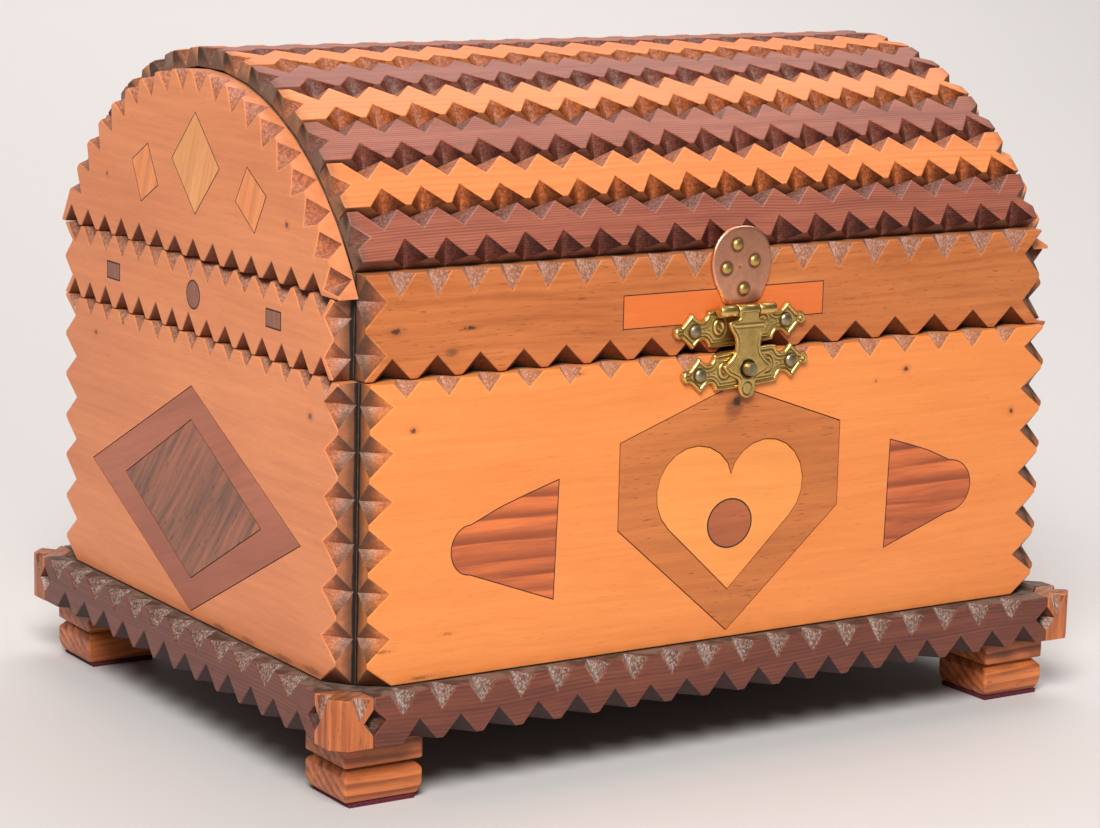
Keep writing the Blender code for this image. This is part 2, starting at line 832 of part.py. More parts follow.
# Slats of the dome, alternately dark and light, from front to back
slat_drop = slat_thickness - notch_land
for number in range(slat_count):
    hand = random.Random(600 + number)
    turn = slat_first + slat_turn * number
    out = Vector((0, -math.cos(turn), math.sin(turn)))
    up_slope = Vector((0, math.sin(turn), math.cos(turn)))
    lower = notch_row(
        box_width,
        slat_lower_pitch,
        slat_lower_flat,
        slat_lower_reach,
        slat_drop,
        hand,
        slat_lower_first + hand.uniform(-slat_start_wander, slat_start_wander),
        slat_lower_last,
    )
    upper = notch_row(
        box_width,
        slat_upper_pitch,
        0.0,
        slat_upper_reach,
        slat_drop,
        hand,
        slat_upper_last,
        slat_upper_first + hand.uniform(-slat_start_wander, slat_start_wander),
    )
    ends = [single_notch(slat_width / 2, slat_end_half, slat_end_reach, slat_drop, hand) for _ in range(2)]
    edges = board_edges(box_width, slat_width, lower, ends[0], upper, ends[1])
    mesh = notched_board("slat", edges, slat_thickness)
    spot = dome_centre + out * dome_radius - up_slope * (slat_width / 2)
    look = dark_wood if number % 2 == 0 else orange_wood
    place("slat_%02d" % (number + 1), mesh, axes((1, 0, 0), up_slope, out, spot), look, lid_axis)

# Outline shared by both ornament plates, as shares of their half length and half height
ornament_quarter = (
    (1.0, 0.0), (0.97, 0.26), (0.92, 0.35), (0.875, 0.29), (0.78, 0.66), (0.72, 0.93),
    (0.665, 0.7), (0.61, 0.52), (0.54, 0.52), (0.5, 0.71), (0.49, 0.97), (0.0, 1.0),
)


def tilted(x, y, tilt, drop):
    """A point of a plate that hangs askew, its middle this far below the hasp's axis."""
    return (x * math.cos(tilt) - y * math.sin(tilt), x * math.sin(tilt) + y * math.cos(tilt) - drop)


def ornament(half_length, tilt, drop):
    quarter = [(x * half_length, y * ornament_half_height) for x, y in ornament_quarter]
    return [tilted(x, y, tilt, drop) for x, y in four_way(quarter)]


def nail(x, y, low, high):
    return ((x, y, low), (x, y, high), nail_radius, nail_radius * nail_taper)


def nail_pair(tilt, drop, low, high):
    return [nail(*tilted(sign * nail_offset, 0.0, tilt, drop), low, high) for sign in (-1, 1)]


def bar(start, end, height):
    """A round bar along local X, at the height of the hasp's axis or a hinge's."""
    return ((start, 0, height), (end, 0, height))


# Upper ornament plate, on the rim, with the outer knuckles of the hasp; local Y is up from the axis
barrel_half = hasp_barrel_length / 2
knuckle_half = hasp_knuckle_length / 2
outer_start = knuckle_half + fit_gap
barrel = (hasp_barrel_radius, hasp_barrel_radius)
axis_stand = lid_face_y - hasp_axis_y
hasp_frame = facing("front", (hardware_centre, lid_face_y, hasp_axis_z))
upper_drop = hasp_axis_rise - ornament_half_height - upper_plate_rise
upper_middle = fit_gap + metal_thickness / 2
upper_front = fit_gap + metal_thickness
upper_outline = ornament(upper_plate_half_length, upper_plate_tilt, upper_drop)
upper_mesh = prism(upper_outline, fit_gap, upper_front)
upper_plate = place("hasp_upper_plate", upper_mesh, hasp_frame, brass, lid_axis)
tongues = bmesh.new()
tongue_half = (barrel_half - outer_start) / 2 - tongue_inset
for sign in (-1, 1):
    shape = bmesh.ops.create_cube(tongues, size=1.0)
    size = (2 * tongue_half, hasp_barrel_radius, axis_stand - upper_middle)
    spot = (sign * (outer_start + barrel_half) / 2, -tongue_drop, (axis_stand + upper_middle) / 2)
    bmesh.ops.scale(tongues, vec=size, verts=shape["verts"])
    bmesh.ops.translate(tongues, vec=spot, verts=shape["verts"])
combine(upper_plate, tool("hasp_tongues", finish(tongues, "tongues"), hasp_frame), "UNION")
knuckles = [
    (*bar(-barrel_half, -outer_start, axis_stand), *barrel),
    (*bar(outer_start, barrel_half, axis_stand), *barrel),
]
combine(upper_plate, tool("outer_knuckles", rods(knuckles), hasp_frame), "UNION")
nails = nail_pair(upper_plate_tilt, upper_drop, upper_middle, upper_front + nail_height)
combine(upper_plate, tool("upper_nails", rods(nails, nail_sides), hasp_frame), "UNION")

# Lower ornament plate, on the front of the box, with the stud and two nails
lower_back = face_y + lid_face_y + fit_gap
lower_middle = lower_back + metal_thickness / 2
lower_front = lower_back + metal_thickness
lower_drop = hasp_axis_z - box_top + ornament_half_height - lower_plate_rise
lower_outline = ornament(lower_plate_half_length, lower_plate_tilt, lower_drop)
lower_mesh = prism(lower_outline, lower_back, lower_front)
lower_plate = place("hasp_lower_plate", lower_mesh, hasp_frame, brass)
nails = nail_pair(lower_plate_tilt, lower_drop, lower_middle, lower_front + nail_height)
combine(lower_plate, tool("lower_nails", rods(nails, nail_sides), hasp_frame), "UNION")
stud_radius = hasp_hole_radius - stud_clearance
stud_end = (0, -lower_drop, lower_front + stud_length)
stud = ((0, -lower_drop, lower_middle), stud_end, stud_radius, stud_end_radius)
combine(lower_plate, tool("stud", rods([stud]), hasp_frame), "UNION")

# Hasp, hanging from the middle knuckle over the stud, as shares of its half width and length
hasp_shape = (
    (0.38, 0.0), (0.38, 0.095), (0.82, 0.12), (0.73, 0.195), (0.52, 0.29), (0.47, 0.375),
    (0.52, 0.48), (0.75, 0.57), (1.0, 0.62), (0.8, 0.705), (0.4, 0.77), (0.32, 0.8),
    (0.34, 0.88), (0.24, 0.965), (0.0, 1.0),
)
hasp_length = lower_drop + hasp_tail
hasp_back = axis_stand + hasp_barrel_radius - metal_thickness
right_half = [(x * hasp_half_width, -y * hasp_length) for x, y in hasp_shape]
hasp_outline = [(-x, y) for x, y in right_half] + right_half[-2::-1]
hasp_mesh = prism(hasp_outline, hasp_back, hasp_back + metal_thickness)
hasp = place("hasp", hasp_mesh, hasp_frame, brass, hasp_axis)
hole = ((0, -lower_drop, 0), (0, -lower_drop, 2 * hasp_back), hasp_hole_radius, hasp_hole_radius)
combine(hasp, tool("stud_hole", rods([hole]), hasp_frame), "DIFFERENCE")
knuckle = (*bar(-knuckle_half, knuckle_half, axis_stand), *barrel)
combine(hasp, tool("hasp_knuckle", rods([knuckle]), hasp_frame), "UNION")

# Copper plate with four nails, as shares of its half width and half height from its middle
copper_shape = (
    (0.45, -1.0), (0.72, -0.72), (0.93, -0.3), (1.0, 0.1),
    (0.95, 0.42), (0.78, 0.72), (0.5, 0.92), (0.18, 1.0),
)
copper_right = [(x * copper_width / 2, y * copper_height / 2) for x, y in copper_shape]
copper_outline = copper_right + [(-x, y) for x, y in reversed(copper_right)]
copper_spot = hasp_axis_z - upper_drop + ornament_half_height + copper_gap + copper_height / 2
copper_frame = facing("front", (hardware_centre, lid_face_y, copper_spot))
copper_front = fit_gap + copper_thickness
copper_mesh = prism(copper_outline, fit_gap, copper_front)
copper_plate = place("copper_plate", copper_mesh, copper_frame, copper, lid_axis)
copper_middle = fit_gap + copper_thickness / 2
nails = []
for x, fall in copper_nails:
    nails.append(nail(x, copper_height / 2 - fall, copper_middle, copper_front + nail_height))
combine(copper_plate, tool("copper_nails", rods(nails, nail_sides), copper_frame), "UNION")

# Two lid hinges on the back, each a leaf on the box and a leaf on the lid
hinge_half = hinge_leaf_width / 2
knuckle_run = hinge_leaf_width / hinge_knuckle_count
leaf_start = hinge_knuckle_radius + fit_gap
leaf_end = leaf_start + hinge_leaf_height
hinge_round = (hinge_knuckle_radius, hinge_knuckle_radius)
for side, sign in (("left", -1), ("right", 1)):
    frame = facing("back", (sign * (half_width - hinge_inset), face_y + fit_gap, hinge_axis_z))
    for leaf, up in (("box", -1), ("lid", 1)):
        outline = [(-hinge_half, leaf_end), (-hinge_half, leaf_start)]
        knuckles = []
        for i in range(0 if leaf == "box" else 1, hinge_knuckle_count, 2):
            low = -hinge_half + i * knuckle_run + fit_gap / 2
            high = low + knuckle_run - fit_gap
            near = low + tongue_inset
            far = high - tongue_inset
            outline += [(near, leaf_start), (near, 0.0), (far, 0.0), (far, leaf_start)]
            knuckles.append((*bar(low, high, hinge_knuckle_radius), *hinge_round))
        outline += [(hinge_half, leaf_start), (hinge_half, leaf_end)]
        mesh = prism([(x, up * y) for x, y in outline], 0.0, hinge_leaf_thickness)
        name = "hinge_" + side + "_" + leaf + "_leaf"
        piece = place(name, mesh, frame, brass, lid_axis if leaf == "lid" else None)
        combine(piece, tool(name + "_knuckles", rods(knuckles), frame), "UNION")
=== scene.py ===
"""Chip-carved trinket box: worn boards, inlays and brass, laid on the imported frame.

Lengths are in metres, +Z is up, the front faces -Y and the floor is at zero.
"""
import json
import math
import random

import bmesh
import bpy
from mathutils import Matrix, Vector
from mathutils.geometry import delaunay_2d_cdt


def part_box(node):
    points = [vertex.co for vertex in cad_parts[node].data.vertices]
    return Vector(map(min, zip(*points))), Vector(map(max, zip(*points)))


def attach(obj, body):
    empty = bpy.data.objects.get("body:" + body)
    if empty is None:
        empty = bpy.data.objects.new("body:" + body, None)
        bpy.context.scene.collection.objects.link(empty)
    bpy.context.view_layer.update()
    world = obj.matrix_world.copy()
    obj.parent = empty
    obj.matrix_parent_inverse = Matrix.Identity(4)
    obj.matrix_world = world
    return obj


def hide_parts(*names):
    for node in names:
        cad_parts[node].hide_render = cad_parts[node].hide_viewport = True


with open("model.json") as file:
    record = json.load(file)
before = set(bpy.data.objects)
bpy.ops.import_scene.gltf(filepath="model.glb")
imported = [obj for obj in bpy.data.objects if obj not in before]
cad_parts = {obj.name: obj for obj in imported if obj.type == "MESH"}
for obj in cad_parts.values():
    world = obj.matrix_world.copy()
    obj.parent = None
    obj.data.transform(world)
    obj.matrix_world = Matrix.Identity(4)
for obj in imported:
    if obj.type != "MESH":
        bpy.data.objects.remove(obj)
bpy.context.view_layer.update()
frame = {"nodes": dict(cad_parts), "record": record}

bl_info = {
    "name": "Chip-Carved Trinket Box",
    "version": (1, 0, 0),
    "blender": (4, 5, 0),
    "location": "View3D > Sidebar > Trinket Box",
    "description": "Finishes the boards, inlays, brass and felt of a chip-carved trinket box",
    "category": "Object",
}

record = frame["record"]
nodes = frame["nodes"]
body_of = {node: body for body, members in record["behaviour"]["bodies"].items() for node in members}

# Faces that the inlays lie in
FRONT_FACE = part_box("carved_front")[0].y
RIM_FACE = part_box("lid_rim_front")[0].y
LEFT_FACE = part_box("carved_left")[0].x

# How the photographed box was seen
CAMERA_PLACE = (-0.5274, -0.8057, 0.2671)
CAMERA_YAW = math.radians(33.19)
CAMERA_PITCH = math.radians(10.95)
CAMERA_ROLL = math.radians(1.42)
CAMERA_LENS = 3239.0 * 36.0 / 1100.0

# What a face of a board is
FACE, CUT, WALL, BACK, POCKET, WORN = range(6)


# Sizes and colours that a user would change

def colour(name, text, value):
    return bpy.props.FloatVectorProperty(
        name=name, description=text, default=value, size=3, min=0.0, max=1.0, subtype="COLOR"
    )


def length(name, text, value, most):
    return bpy.props.FloatProperty(
        name=name, description=text, default=value, min=0.0, max=most, subtype="DISTANCE", unit="LENGTH"
    )


class BoxFinish(bpy.types.PropertyGroup):
    """Sizes and colours of the finish"""

    worn_edge: length("Worn edge", "Width of the rounding along each arris", 0.0003, 0.001)
    foot_edge: length("Foot edge", "Width of the rounding on the feet", 0.0007, 0.002)
    glue_line: length("Glue line", "Width of the dark line round an inlay", 0.0003, 0.001)
    maple_light: colour("Maple, light", "Light streaks of the front plate and the heart", (0.9, 0.3, 0.076))
    maple_dark: colour("Maple, dark", "Dark streaks of the front plate and the heart", (0.74, 0.205, 0.043))
    plate_light: colour("Side plate, light", "Light streaks of the side plates", (0.84, 0.29, 0.108))
    plate_dark: colour("Side plate, dark", "Dark streaks of the side plates", (0.62, 0.185, 0.065))
    rim_light: colour("Front rim, light", "Light streaks of the front rim", (0.62, 0.194, 0.052))
    rim_dark: colour("Front rim, dark", "Dark streaks of the front rim", (0.41, 0.107, 0.024))
    slat_light: colour("Light slat, light", "Light streaks of the light slats", (0.80, 0.25, 0.071))
    slat_dark: colour("Light slat, dark", "Dark streaks of the light slats", (0.60, 0.165, 0.045))
    red_light: colour("Dark slat, light", "Light streaks of the dark slats", (0.40, 0.122, 0.068))
    red_dark: colour("Dark slat, dark", "Growth lines of the dark slats", (0.21, 0.055, 0.034))
    base_light: colour("Base strip, light", "Light streaks of the base strips", (0.25, 0.068, 0.034))
    base_dark: colour("Base strip, dark", "Growth lines of the base strips", (0.11, 0.027, 0.017))
    foot_light: colour("Foot, light", "Light streaks of feet and corner blocks", (0.80, 0.235, 0.062))
    foot_dark: colour("Foot, dark", "Dark streaks of feet and corner blocks", (0.36, 0.085, 0.026))
    shield_light: colour("Shield, light", "Light streaks of the shield", (0.65, 0.2, 0.048))
    shield_dark: colour("Shield, dark", "Dark streaks of the shield", (0.43, 0.117, 0.028))
    film: colour("Film of dirt", "Old dirt on end grain and hidden edges", (0.036, 0.023, 0.016))
    # Laid in tight corners by ambient occlusion: dirt and painted shade.
    grime: colour("Grime", "Dirt in the seams and on the ledges", (0.06, 0.036, 0.022))
    dust: colour("Dust", "Dust on cuts that face up", (0.3, 0.2, 0.145))
    lint: colour("Lint", "Fluffy dirt on the slats' ends and edges", (0.135, 0.1, 0.07))
    brass_bright: colour("Brass", "Rubbed brass", (0.80, 0.53, 0.17))
    brass_dull: colour("Brass, tarnished", "Tarnish in the brass's hollows", (0.10, 0.06, 0.02))
    copper_bright: colour("Copper", "Rubbed copper", (0.95, 0.44, 0.27))
    copper_dull: colour("Copper, tarnished", "Tarnish round the nails", (0.12, 0.06, 0.04))
    felt_red: colour("Felt", "Felt under the feet", (0.15, 0.014, 0.03))
    floor_grey: colour("Floor", "Pale floor and backdrop", (0.585, 0.55, 0.535))


def finish_of(context):
    return context.scene.trinket_box


# Node building

class Nodes:
    """Adds nodes to a tree; an input is given by a value or by the output that feeds it."""

    def __init__(self, tree):
        self.tree = tree

    def add(self, kind, inputs=None, **settings):
        node = self.tree.nodes.new(kind)
        for name, value in settings.items():
            setattr(node, name, value)
        for key, value in (inputs or {}).items():
            self.feed(node.inputs[key], value)
        return node

    def feed(self, socket, value):
        if isinstance(value, bpy.types.NodeSocket):
            self.tree.links.new(value, socket)
        elif socket.type == "RGBA" and len(value) == 3:
            socket.default_value = (*value, 1.0)
        else:
            socket.default_value = value

    def math(self, operation, *values, clamp=False):
        inputs = dict(enumerate(values))
        return self.add("ShaderNodeMath", inputs, operation=operation, use_clamp=clamp).outputs[0]

    def times(self, first, second, clamp=False):
        return self.math("MULTIPLY", first, second, clamp=clamp)

    def most(self, first, second, clamp=False):
        return self.math("MAXIMUM", first, second, clamp=clamp)

    def fuse(self, value, factor, extra, clamp=False):
        """The value times the factor, plus the extra."""
        return self.math("MULTIPLY_ADD", value, factor, extra, clamp=clamp)

    def vector(self, operation, *values):
        return self.add("ShaderNodeVectorMath", dict(enumerate(values)), operation=operation).outputs[0]

    def split(self, vector):
        return self.add("ShaderNodeSeparateXYZ", {0: vector}).outputs

    def mix(self, factor, first, second, blend="MIX"):
        inputs = {0: factor, 6: first, 7: second}
        return self.add("ShaderNodeMix", inputs, data_type="RGBA", blend_type=blend).outputs[2]

    def tint(self, colour, by):
        return self.mix(1.0, colour, by, "MULTIPLY")

    def span(self, value, low, high, to_low=0.0, to_high=1.0):
        """Eases the value from one range to another; beyond its ends it stays."""
        inputs = dict(enumerate((value, low, high, to_low, to_high)))
        return self.add("ShaderNodeMapRange", inputs, interpolation_type="SMOOTHSTEP").outputs[0]

    def noise(self, where, scale, detail=3.0, rough=0.55):
        inputs = {"Vector": where, "Scale": scale, "Detail": detail, "Roughness": rough}
        return self.add("ShaderNodeTexNoise", inputs).outputs[0]

    def stretched(self, where, along, across, detail=3.0, rough=0.55):
        """Noise drawn out along local X, in cells a metre."""
        return self.noise(self.vector("MULTIPLY", where, (along, across, across)), 1.0, detail, rough)

    def attribute(self, name, output="Vector"):
        return self.add("ShaderNodeAttribute", attribute_name=name).outputs[output]

    def coordinates(self, kind="Object"):
        return self.add("ShaderNodeTexCoord").outputs[kind]

    def closeness(self, distance):
        """How open the surface is, one where nothing stands within the distance."""
        return self.add("ShaderNodeAmbientOcclusion", {"Distance": distance}, samples=4).outputs["AO"]

    def shared(self, name, make, inputs):
        """A group that materials share, made when it's first wanted."""
        tree = bpy.data.node_groups.get(name) or make(name)
        return self.add("ShaderNodeGroup", inputs, node_tree=tree).outputs

    def bumped(self, shader, strength, distance, height):
        bump = self.add("ShaderNodeBump", {"Strength": strength, "Distance": distance, "Height": height})
        self.feed(shader.inputs["Normal"], bump.outputs[0])


def group(name, inputs, outputs):
    """An empty shader group, with sockets given as "Kind Label", and its nodes."""
    tree = bpy.data.node_groups.new(name, "ShaderNodeTree")
    for way, sockets in (("INPUT", inputs), ("OUTPUT", outputs)):
        for socket in sockets:
            kind, label = socket.split(" ", 1)
            tree.interface.new_socket(name=label, in_out=way, socket_type="NodeSocket" + kind)
    made = Nodes(tree)
    source = made.add("NodeGroupInput").outputs
    sink = made.add("NodeGroupOutput").inputs
    return made, source, sink


def grain_group(name):
    """Wood grain along local X: broad clouds, streaks, fibres, growth lines and flecks."""
    made, source, sink = group(name, (
        "Vector Coordinates", "Color Light", "Color Dark", "Float Cloud", "Float Streak",
        "Float Line spacing", "Float Lines", "Float Flecks",
    ), ("Color Color", "Float Height"))
    where = source["Coordinates"]
    wander = made.fuse(made.stretched(where, 7.0, 16.0, 2.0), 0.008, -0.004)
    shift = made.add("ShaderNodeCombineXYZ", {0: 0.0, 1: wander, 2: wander}).outputs[0]
    bent = made.vector("ADD", where, shift)
    cloud = made.stretched(bent, 10.0, 55.0, 3.0)
    streak = made.stretched(bent, 24.0, 520.0, 5.0, 0.6)
    fibre = made.stretched(bent, 140.0, 3000.0, 2.0)
    fleck = made.span(made.stretched(bent, 240.0, 1900.0, 1.0), 0.655, 0.73)
    parts = made.split(bent)
    across = made.math("ADD", parts[1], made.times(parts[2], 0.6))
    turn = made.math("FRACT", made.math("DIVIDE", across, source["Line spacing"]))
    rise = made.span(turn, 0.2, 0.86)
    fall = made.span(turn, 0.9, 1.0, 1.0, 0.0)
    strength = made.span(made.stretched(bent, 14.0, 300.0, 2.0), 0.35, 0.62, 0.35, 1.0)
    line = made.times(made.times(rise, fall), strength)
    tone = made.fuse(made.math("SUBTRACT", cloud, 0.5), source["Cloud"], 0.5)
    tone = made.fuse(made.math("SUBTRACT", streak, 0.5), source["Streak"], tone)
    tone = made.fuse(made.math("SUBTRACT", fibre, 0.5), 0.5, tone, clamp=True)
    wood = made.mix(tone, source["Dark"], source["Light"])
    deep = made.tint(source["Dark"], (0.55, 0.5, 0.5))
    wood = made.mix(made.times(line, source["Lines"]), wood, deep)
    wood = made.mix(made.times(fleck, source["Flecks"]), wood, deep)
    height = made.fuse(streak, 0.5, made.times(fibre, 0.5))
    height = made.math("SUBTRACT", height, made.times(fleck, made.times(source["Flecks"], 0.6)))
    height = made.math("SUBTRACT", height, made.times(line, made.times(source["Lines"], 0.3)))
    made.feed(sink["Color"], wood)
    made.feed(sink["Height"], height)
    return made.tree


def cut_group(name):
    """A knife cut: rough and stained, dusty where it faces up and near black where it faces down, as painted
    shade with the stain.
    """
    made, source, sink = group(name, (
        "Vector Coordinates", "Color Wood", "Color Dust", "Float Stain", "Float Dustiness",
        "Float Facing up", "Float Tone",
    ), ("Color Color", "Float Height"))
    where = source["Coordinates"]
    rough = made.noise(where, 900.0, 4.0, 0.65)
    scored = made.stretched(where, 160.0, 2600.0, 3.0, 0.6)
    mottle = made.fuse(made.math("SUBTRACT", rough, 0.5), 0.9, scored, clamp=True)
    mottle = made.span(mottle, 0.3, 0.75)
    stain = made.mix(mottle, (0.36, 0.28, 0.26), (0.8, 0.7, 0.66))
    stain = made.mix(source["Stain"], (1.0, 1.0, 1.0), stain)
    shade = made.tint(source["Wood"], stain)
    darker = made.tint(shade, (0.5, 0.45, 0.45))
    shade = made.mix(made.span(source["Tone"], 0.0, 1.0, 0.0, 0.3), shade, darker)
    # Cuts that face down go toward near black: painted shade, with the stain of the cut.
    down = made.span(source["Facing up"], 0.05, -0.35)
    shaded_below = made.tint(shade, (0.22, 0.15, 0.14))
    shade = made.mix(made.times(down, 0.62), shade, shaded_below)
    up = made.span(source["Facing up"], 0.05, 0.5)
    settled = made.times(up, made.span(mottle, 0.1, 0.7, 0.35, 1.0))
    shadowed = made.tint(source["Dust"], (0.62, 0.57, 0.55))
    crumbs = made.span(made.stretched(where, 500.0, 2600.0, 2.0), 0.4, 0.62)
    bits = made.mix(crumbs, shadowed, (0.46, 0.365, 0.31))
    shade = made.mix(made.times(settled, source["Dustiness"]), shade, bits)
    made.feed(sink["Color"], shade)
    made.feed(sink["Height"], made.fuse(rough, 1.4, scored))
    return made.tree


def grime_and_shade_group(name):
    """Dirt laid over a colour where a mask says, broken up by its own noise; in tight corners the dirt is
    also painted shade.
    """
    made, source, sink = group(name, (
        "Vector Coordinates", "Color Under", "Color Dirt", "Float Mask",
    ), ("Color Color", "Float Amount"))
    patch = made.noise(source["Coordinates"], 320.0, 4.0, 0.6)
    speck = made.noise(source["Coordinates"], 2200.0, 2.0)
    broken = made.fuse(patch, 0.9, made.times(speck, 0.5))
    amount = made.times(source["Mask"], made.span(broken, 0.35, 0.8, 0.45, 1.0), clamp=True)
    made.feed(sink["Color"], made.mix(amount, source["Under"], source["Dirt"]))
    made.feed(sink["Amount"], amount)
    return made.tree


def new_material(name):
    material = bpy.data.materials.new(name)
    material.use_nodes = True
    material.node_tree.nodes.clear()
    made = Nodes(material.node_tree)
    shader = made.add("ShaderNodeBsdfPrincipled")
    made.add("ShaderNodeOutputMaterial", {"Surface": shader.outputs[0]})
    return material, made, shader


# What wood() is given, where a board is more than plain waxed wood:
#   cloud, streak, flecks  how strongly the broad patches, the streaks and the pores show
#   spacing, lines         growth lines: how far apart and how strong
#   turn                   how the grain is turned from the board's own X
#   stain, dustiness       how dark its knife cuts are and how much dust lies in them
#   ledge, ends, film      dirt on the walls, from this far along to both ends, and all over
#   outside                dirt on the faces that turn away from the box's middle
#   soiled                 dirt along one axis: which, where it begins, where it's full, how strong
#   dirt, fluff            the property that colours that dirt, and what lies in corners that face up
#   seam, joint, corner    dirt and painted shade in tight corners; half a board's thickness and half its length, where its
#                          end walls and its last cuts blacken toward the next board, deepest in the gap as
#                          painted shade
#   worn, gloss, roughness the rubbed arrises' lightness, as wear and painted highlight, and the wax's shine
#   shade, marks           how far the light streaks are darkened, and blemishes of this one board
def wood(finish, name, light, dark, shade=1.0, cloud=0.9, streak=1.1, spacing=0.0016, lines=0.0,
         flecks=0.3, turn=(0.0, 0.0, 0.0), stain=1.0, dustiness=0.8, ledge=0.85, ends=None, film=0.0,
         outside=0.0, soiled=None, dirt="film", fluff=None, seam=1.0, joint=None, corner=None, worn=1.25,
         gloss=0.5, roughness=0.42, marks=()):
    """Waxed wood with its knife cuts, walls with dirt, worn arrises with a painted highlight, marks, and
    dirt and painted shade in the corners.
    """
    if name in bpy.data.materials:
        return bpy.data.materials[name]
    material, made, shader = new_material(name)
    spot = made.coordinates()
    place = made.split(spot)
    tone, board, heading = made.split(made.attribute("tone"))
    edge, cut, wall = made.split(made.attribute("finish"))
    up = made.split(made.add("ShaderNodeNewGeometry").outputs["Normal"])[2]
    own = made.add("ShaderNodeCombineXYZ", {0: board, 1: board, 2: board}).outputs[0]
    moved = made.vector("ADD", spot, made.vector("MULTIPLY", own, (0.37, 0.113, 0.291)))
    grain = made.shared("Wood grain", grain_group, {
        "Coordinates": made.add("ShaderNodeMapping", {"Vector": moved, "Rotation": turn}).outputs[0],
        "Light": tuple(shade * channel for channel in light), "Dark": dark, "Cloud": cloud, "Streak": streak,
        "Line spacing": spacing, "Lines": lines, "Flecks": flecks,
    })
    crease = made.times(heading, -math.pi)
    scored = made.add(
        "ShaderNodeVectorRotate", {"Vector": moved, "Angle": crease}, rotation_type="Z_AXIS"
    ).outputs[0]
    knife = made.shared("Knife cut", cut_group, {
        "Coordinates": scored, "Wood": grain["Color"], "Dust": finish.dust, "Stain": stain,
        "Dustiness": dustiness, "Facing up": up, "Tone": tone,
    })
    look = made.mix(cut, grain["Color"], knife["Color"])
    # Rubbed arrises are lightened: wear and a painted highlight along the edges.
    rubbed = made.times(edge, made.span(made.noise(moved, 420.0, 3.0), 0.4, 0.62, 0.1, 0.85))
    look = made.mix(rubbed, look, made.tint(grain["Color"], (worn, worn, worn)))

    mask = made.times(wall, ledge)
    if film:
        mask = made.most(mask, film)
    if outside:
        facing = made.split(made.coordinates("Normal"))
        outward = made.fuse(facing[0], place[0], made.times(facing[1], place[1]))
        mask = made.most(mask, made.times(made.span(outward, 0.0, 0.02), outside))
    if ends:
        reach = made.math("ABSOLUTE", place[0])
        mask = made.most(mask, made.times(made.span(reach, ends - 0.003, ends), 0.35))
    if soiled:
        axis, clean, foul, strength = soiled
        mask = made.most(mask, made.times(made.span(place[axis], clean, foul), strength))
    lying = made.mix(made.span(made.noise(moved, 150.0, 3.0), 0.4, 0.62), finish.film, finish.dust)
    lying = made.mix(0.5, lying, finish.film)
    filmed = made.shared("Grime", grime_and_shade_group, {
        "Coordinates": moved, "Under": look, "Mask": mask,
        "Dirt": made.mix(made.span(up, 0.2, 0.8), getattr(finish, dirt), lying),
    })

    # Ambient occlusion darkens the tight corners and a board's last cuts: dirt and painted shade.
    crevice = made.times(made.span(made.closeness(0.0035), 0.6, 0.1), 0.7 * seam)
    if corner:
        reach = made.math("ABSOLUTE", place[0])
        packed = made.times(made.span(reach, corner - 0.0036, corner - 0.0006), cut)
        crevice = made.most(crevice, made.times(packed, 0.7))
    corner_dirt_and_shade = made.mix(made.span(up, 0.5, 0.9), finish.grime, fluff) if fluff else finish.grime
    dirtied_and_shaded = made.shared("Grime", grime_and_shade_group, {
        "Coordinates": moved, "Under": filmed["Color"], "Dirt": corner_dirt_and_shade, "Mask": crevice,
    })
    colour_out = dirtied_and_shaded["Color"]
    if joint:
        wander = made.fuse(made.noise(spot, 160.0, 2.0), 0.0012, -0.0006)
        depth = made.math("ADD", place[2], wander)
        end_wall = made.span(wall, 0.8, 0.95)
        fouled = made.times(made.span(depth, 0.0022, -0.0018), made.times(end_wall, 0.62))
        colour_out = made.mix(fouled, colour_out, finish.film)
        # Deepest in the gap the end walls go near black: painted shade of the gap.
        gap_shade = made.times(made.span(depth, 0.0013 - joint, 0.0006 - joint), end_wall)
        colour_out = made.mix(gap_shade, colour_out, (0.012, 0.007, 0.005))
    if marks:
        colour_out = blemished(made, spot, colour_out, marks)

    made.feed(shader.inputs["Base Color"], colour_out)
    dull = made.most(dirtied_and_shaded["Amount"], filmed["Amount"])
    dull = made.most(dull, made.times(cut, 0.25))
    made.feed(shader.inputs["Roughness"], made.fuse(dull, 0.4, roughness))
    relief = made.times(knife["Height"], made.times(cut, 3.0))
    made.bumped(shader, 0.35, 0.00012, made.math("ADD", grain["Height"], relief))
    shader.inputs["Specular IOR Level"].default_value = gloss
    return material


def blemished(made, spot, colour_out, marks):
    """The colour with its nail holes, knots and smudges, each with a faint ring round it."""
    ragged = made.fuse(made.noise(spot, 1300.0, 3.0, 0.7), 0.0018, -0.0009)
    for centre, radius, strength, drawn in marks:
        narrowed = made.vector("MULTIPLY", made.vector("SUBTRACT", spot, centre), (1.0 / drawn, 1.0, 1.0))
        away = made.add("ShaderNodeVectorMath", {0: narrowed}, operation="LENGTH").outputs[1]
        away = made.math("ADD", away, ragged)
        spread = made.times(made.span(away, radius, radius * 0.35), strength)
        ring = made.times(made.span(away, radius * 2.2, radius), 0.3 * strength)
        colour_out = made.mix(ring, colour_out, made.tint(colour_out, (0.5, 0.38, 0.3)))
        colour_out = made.mix(spread, colour_out, (0.022, 0.012, 0.008))
    return colour_out


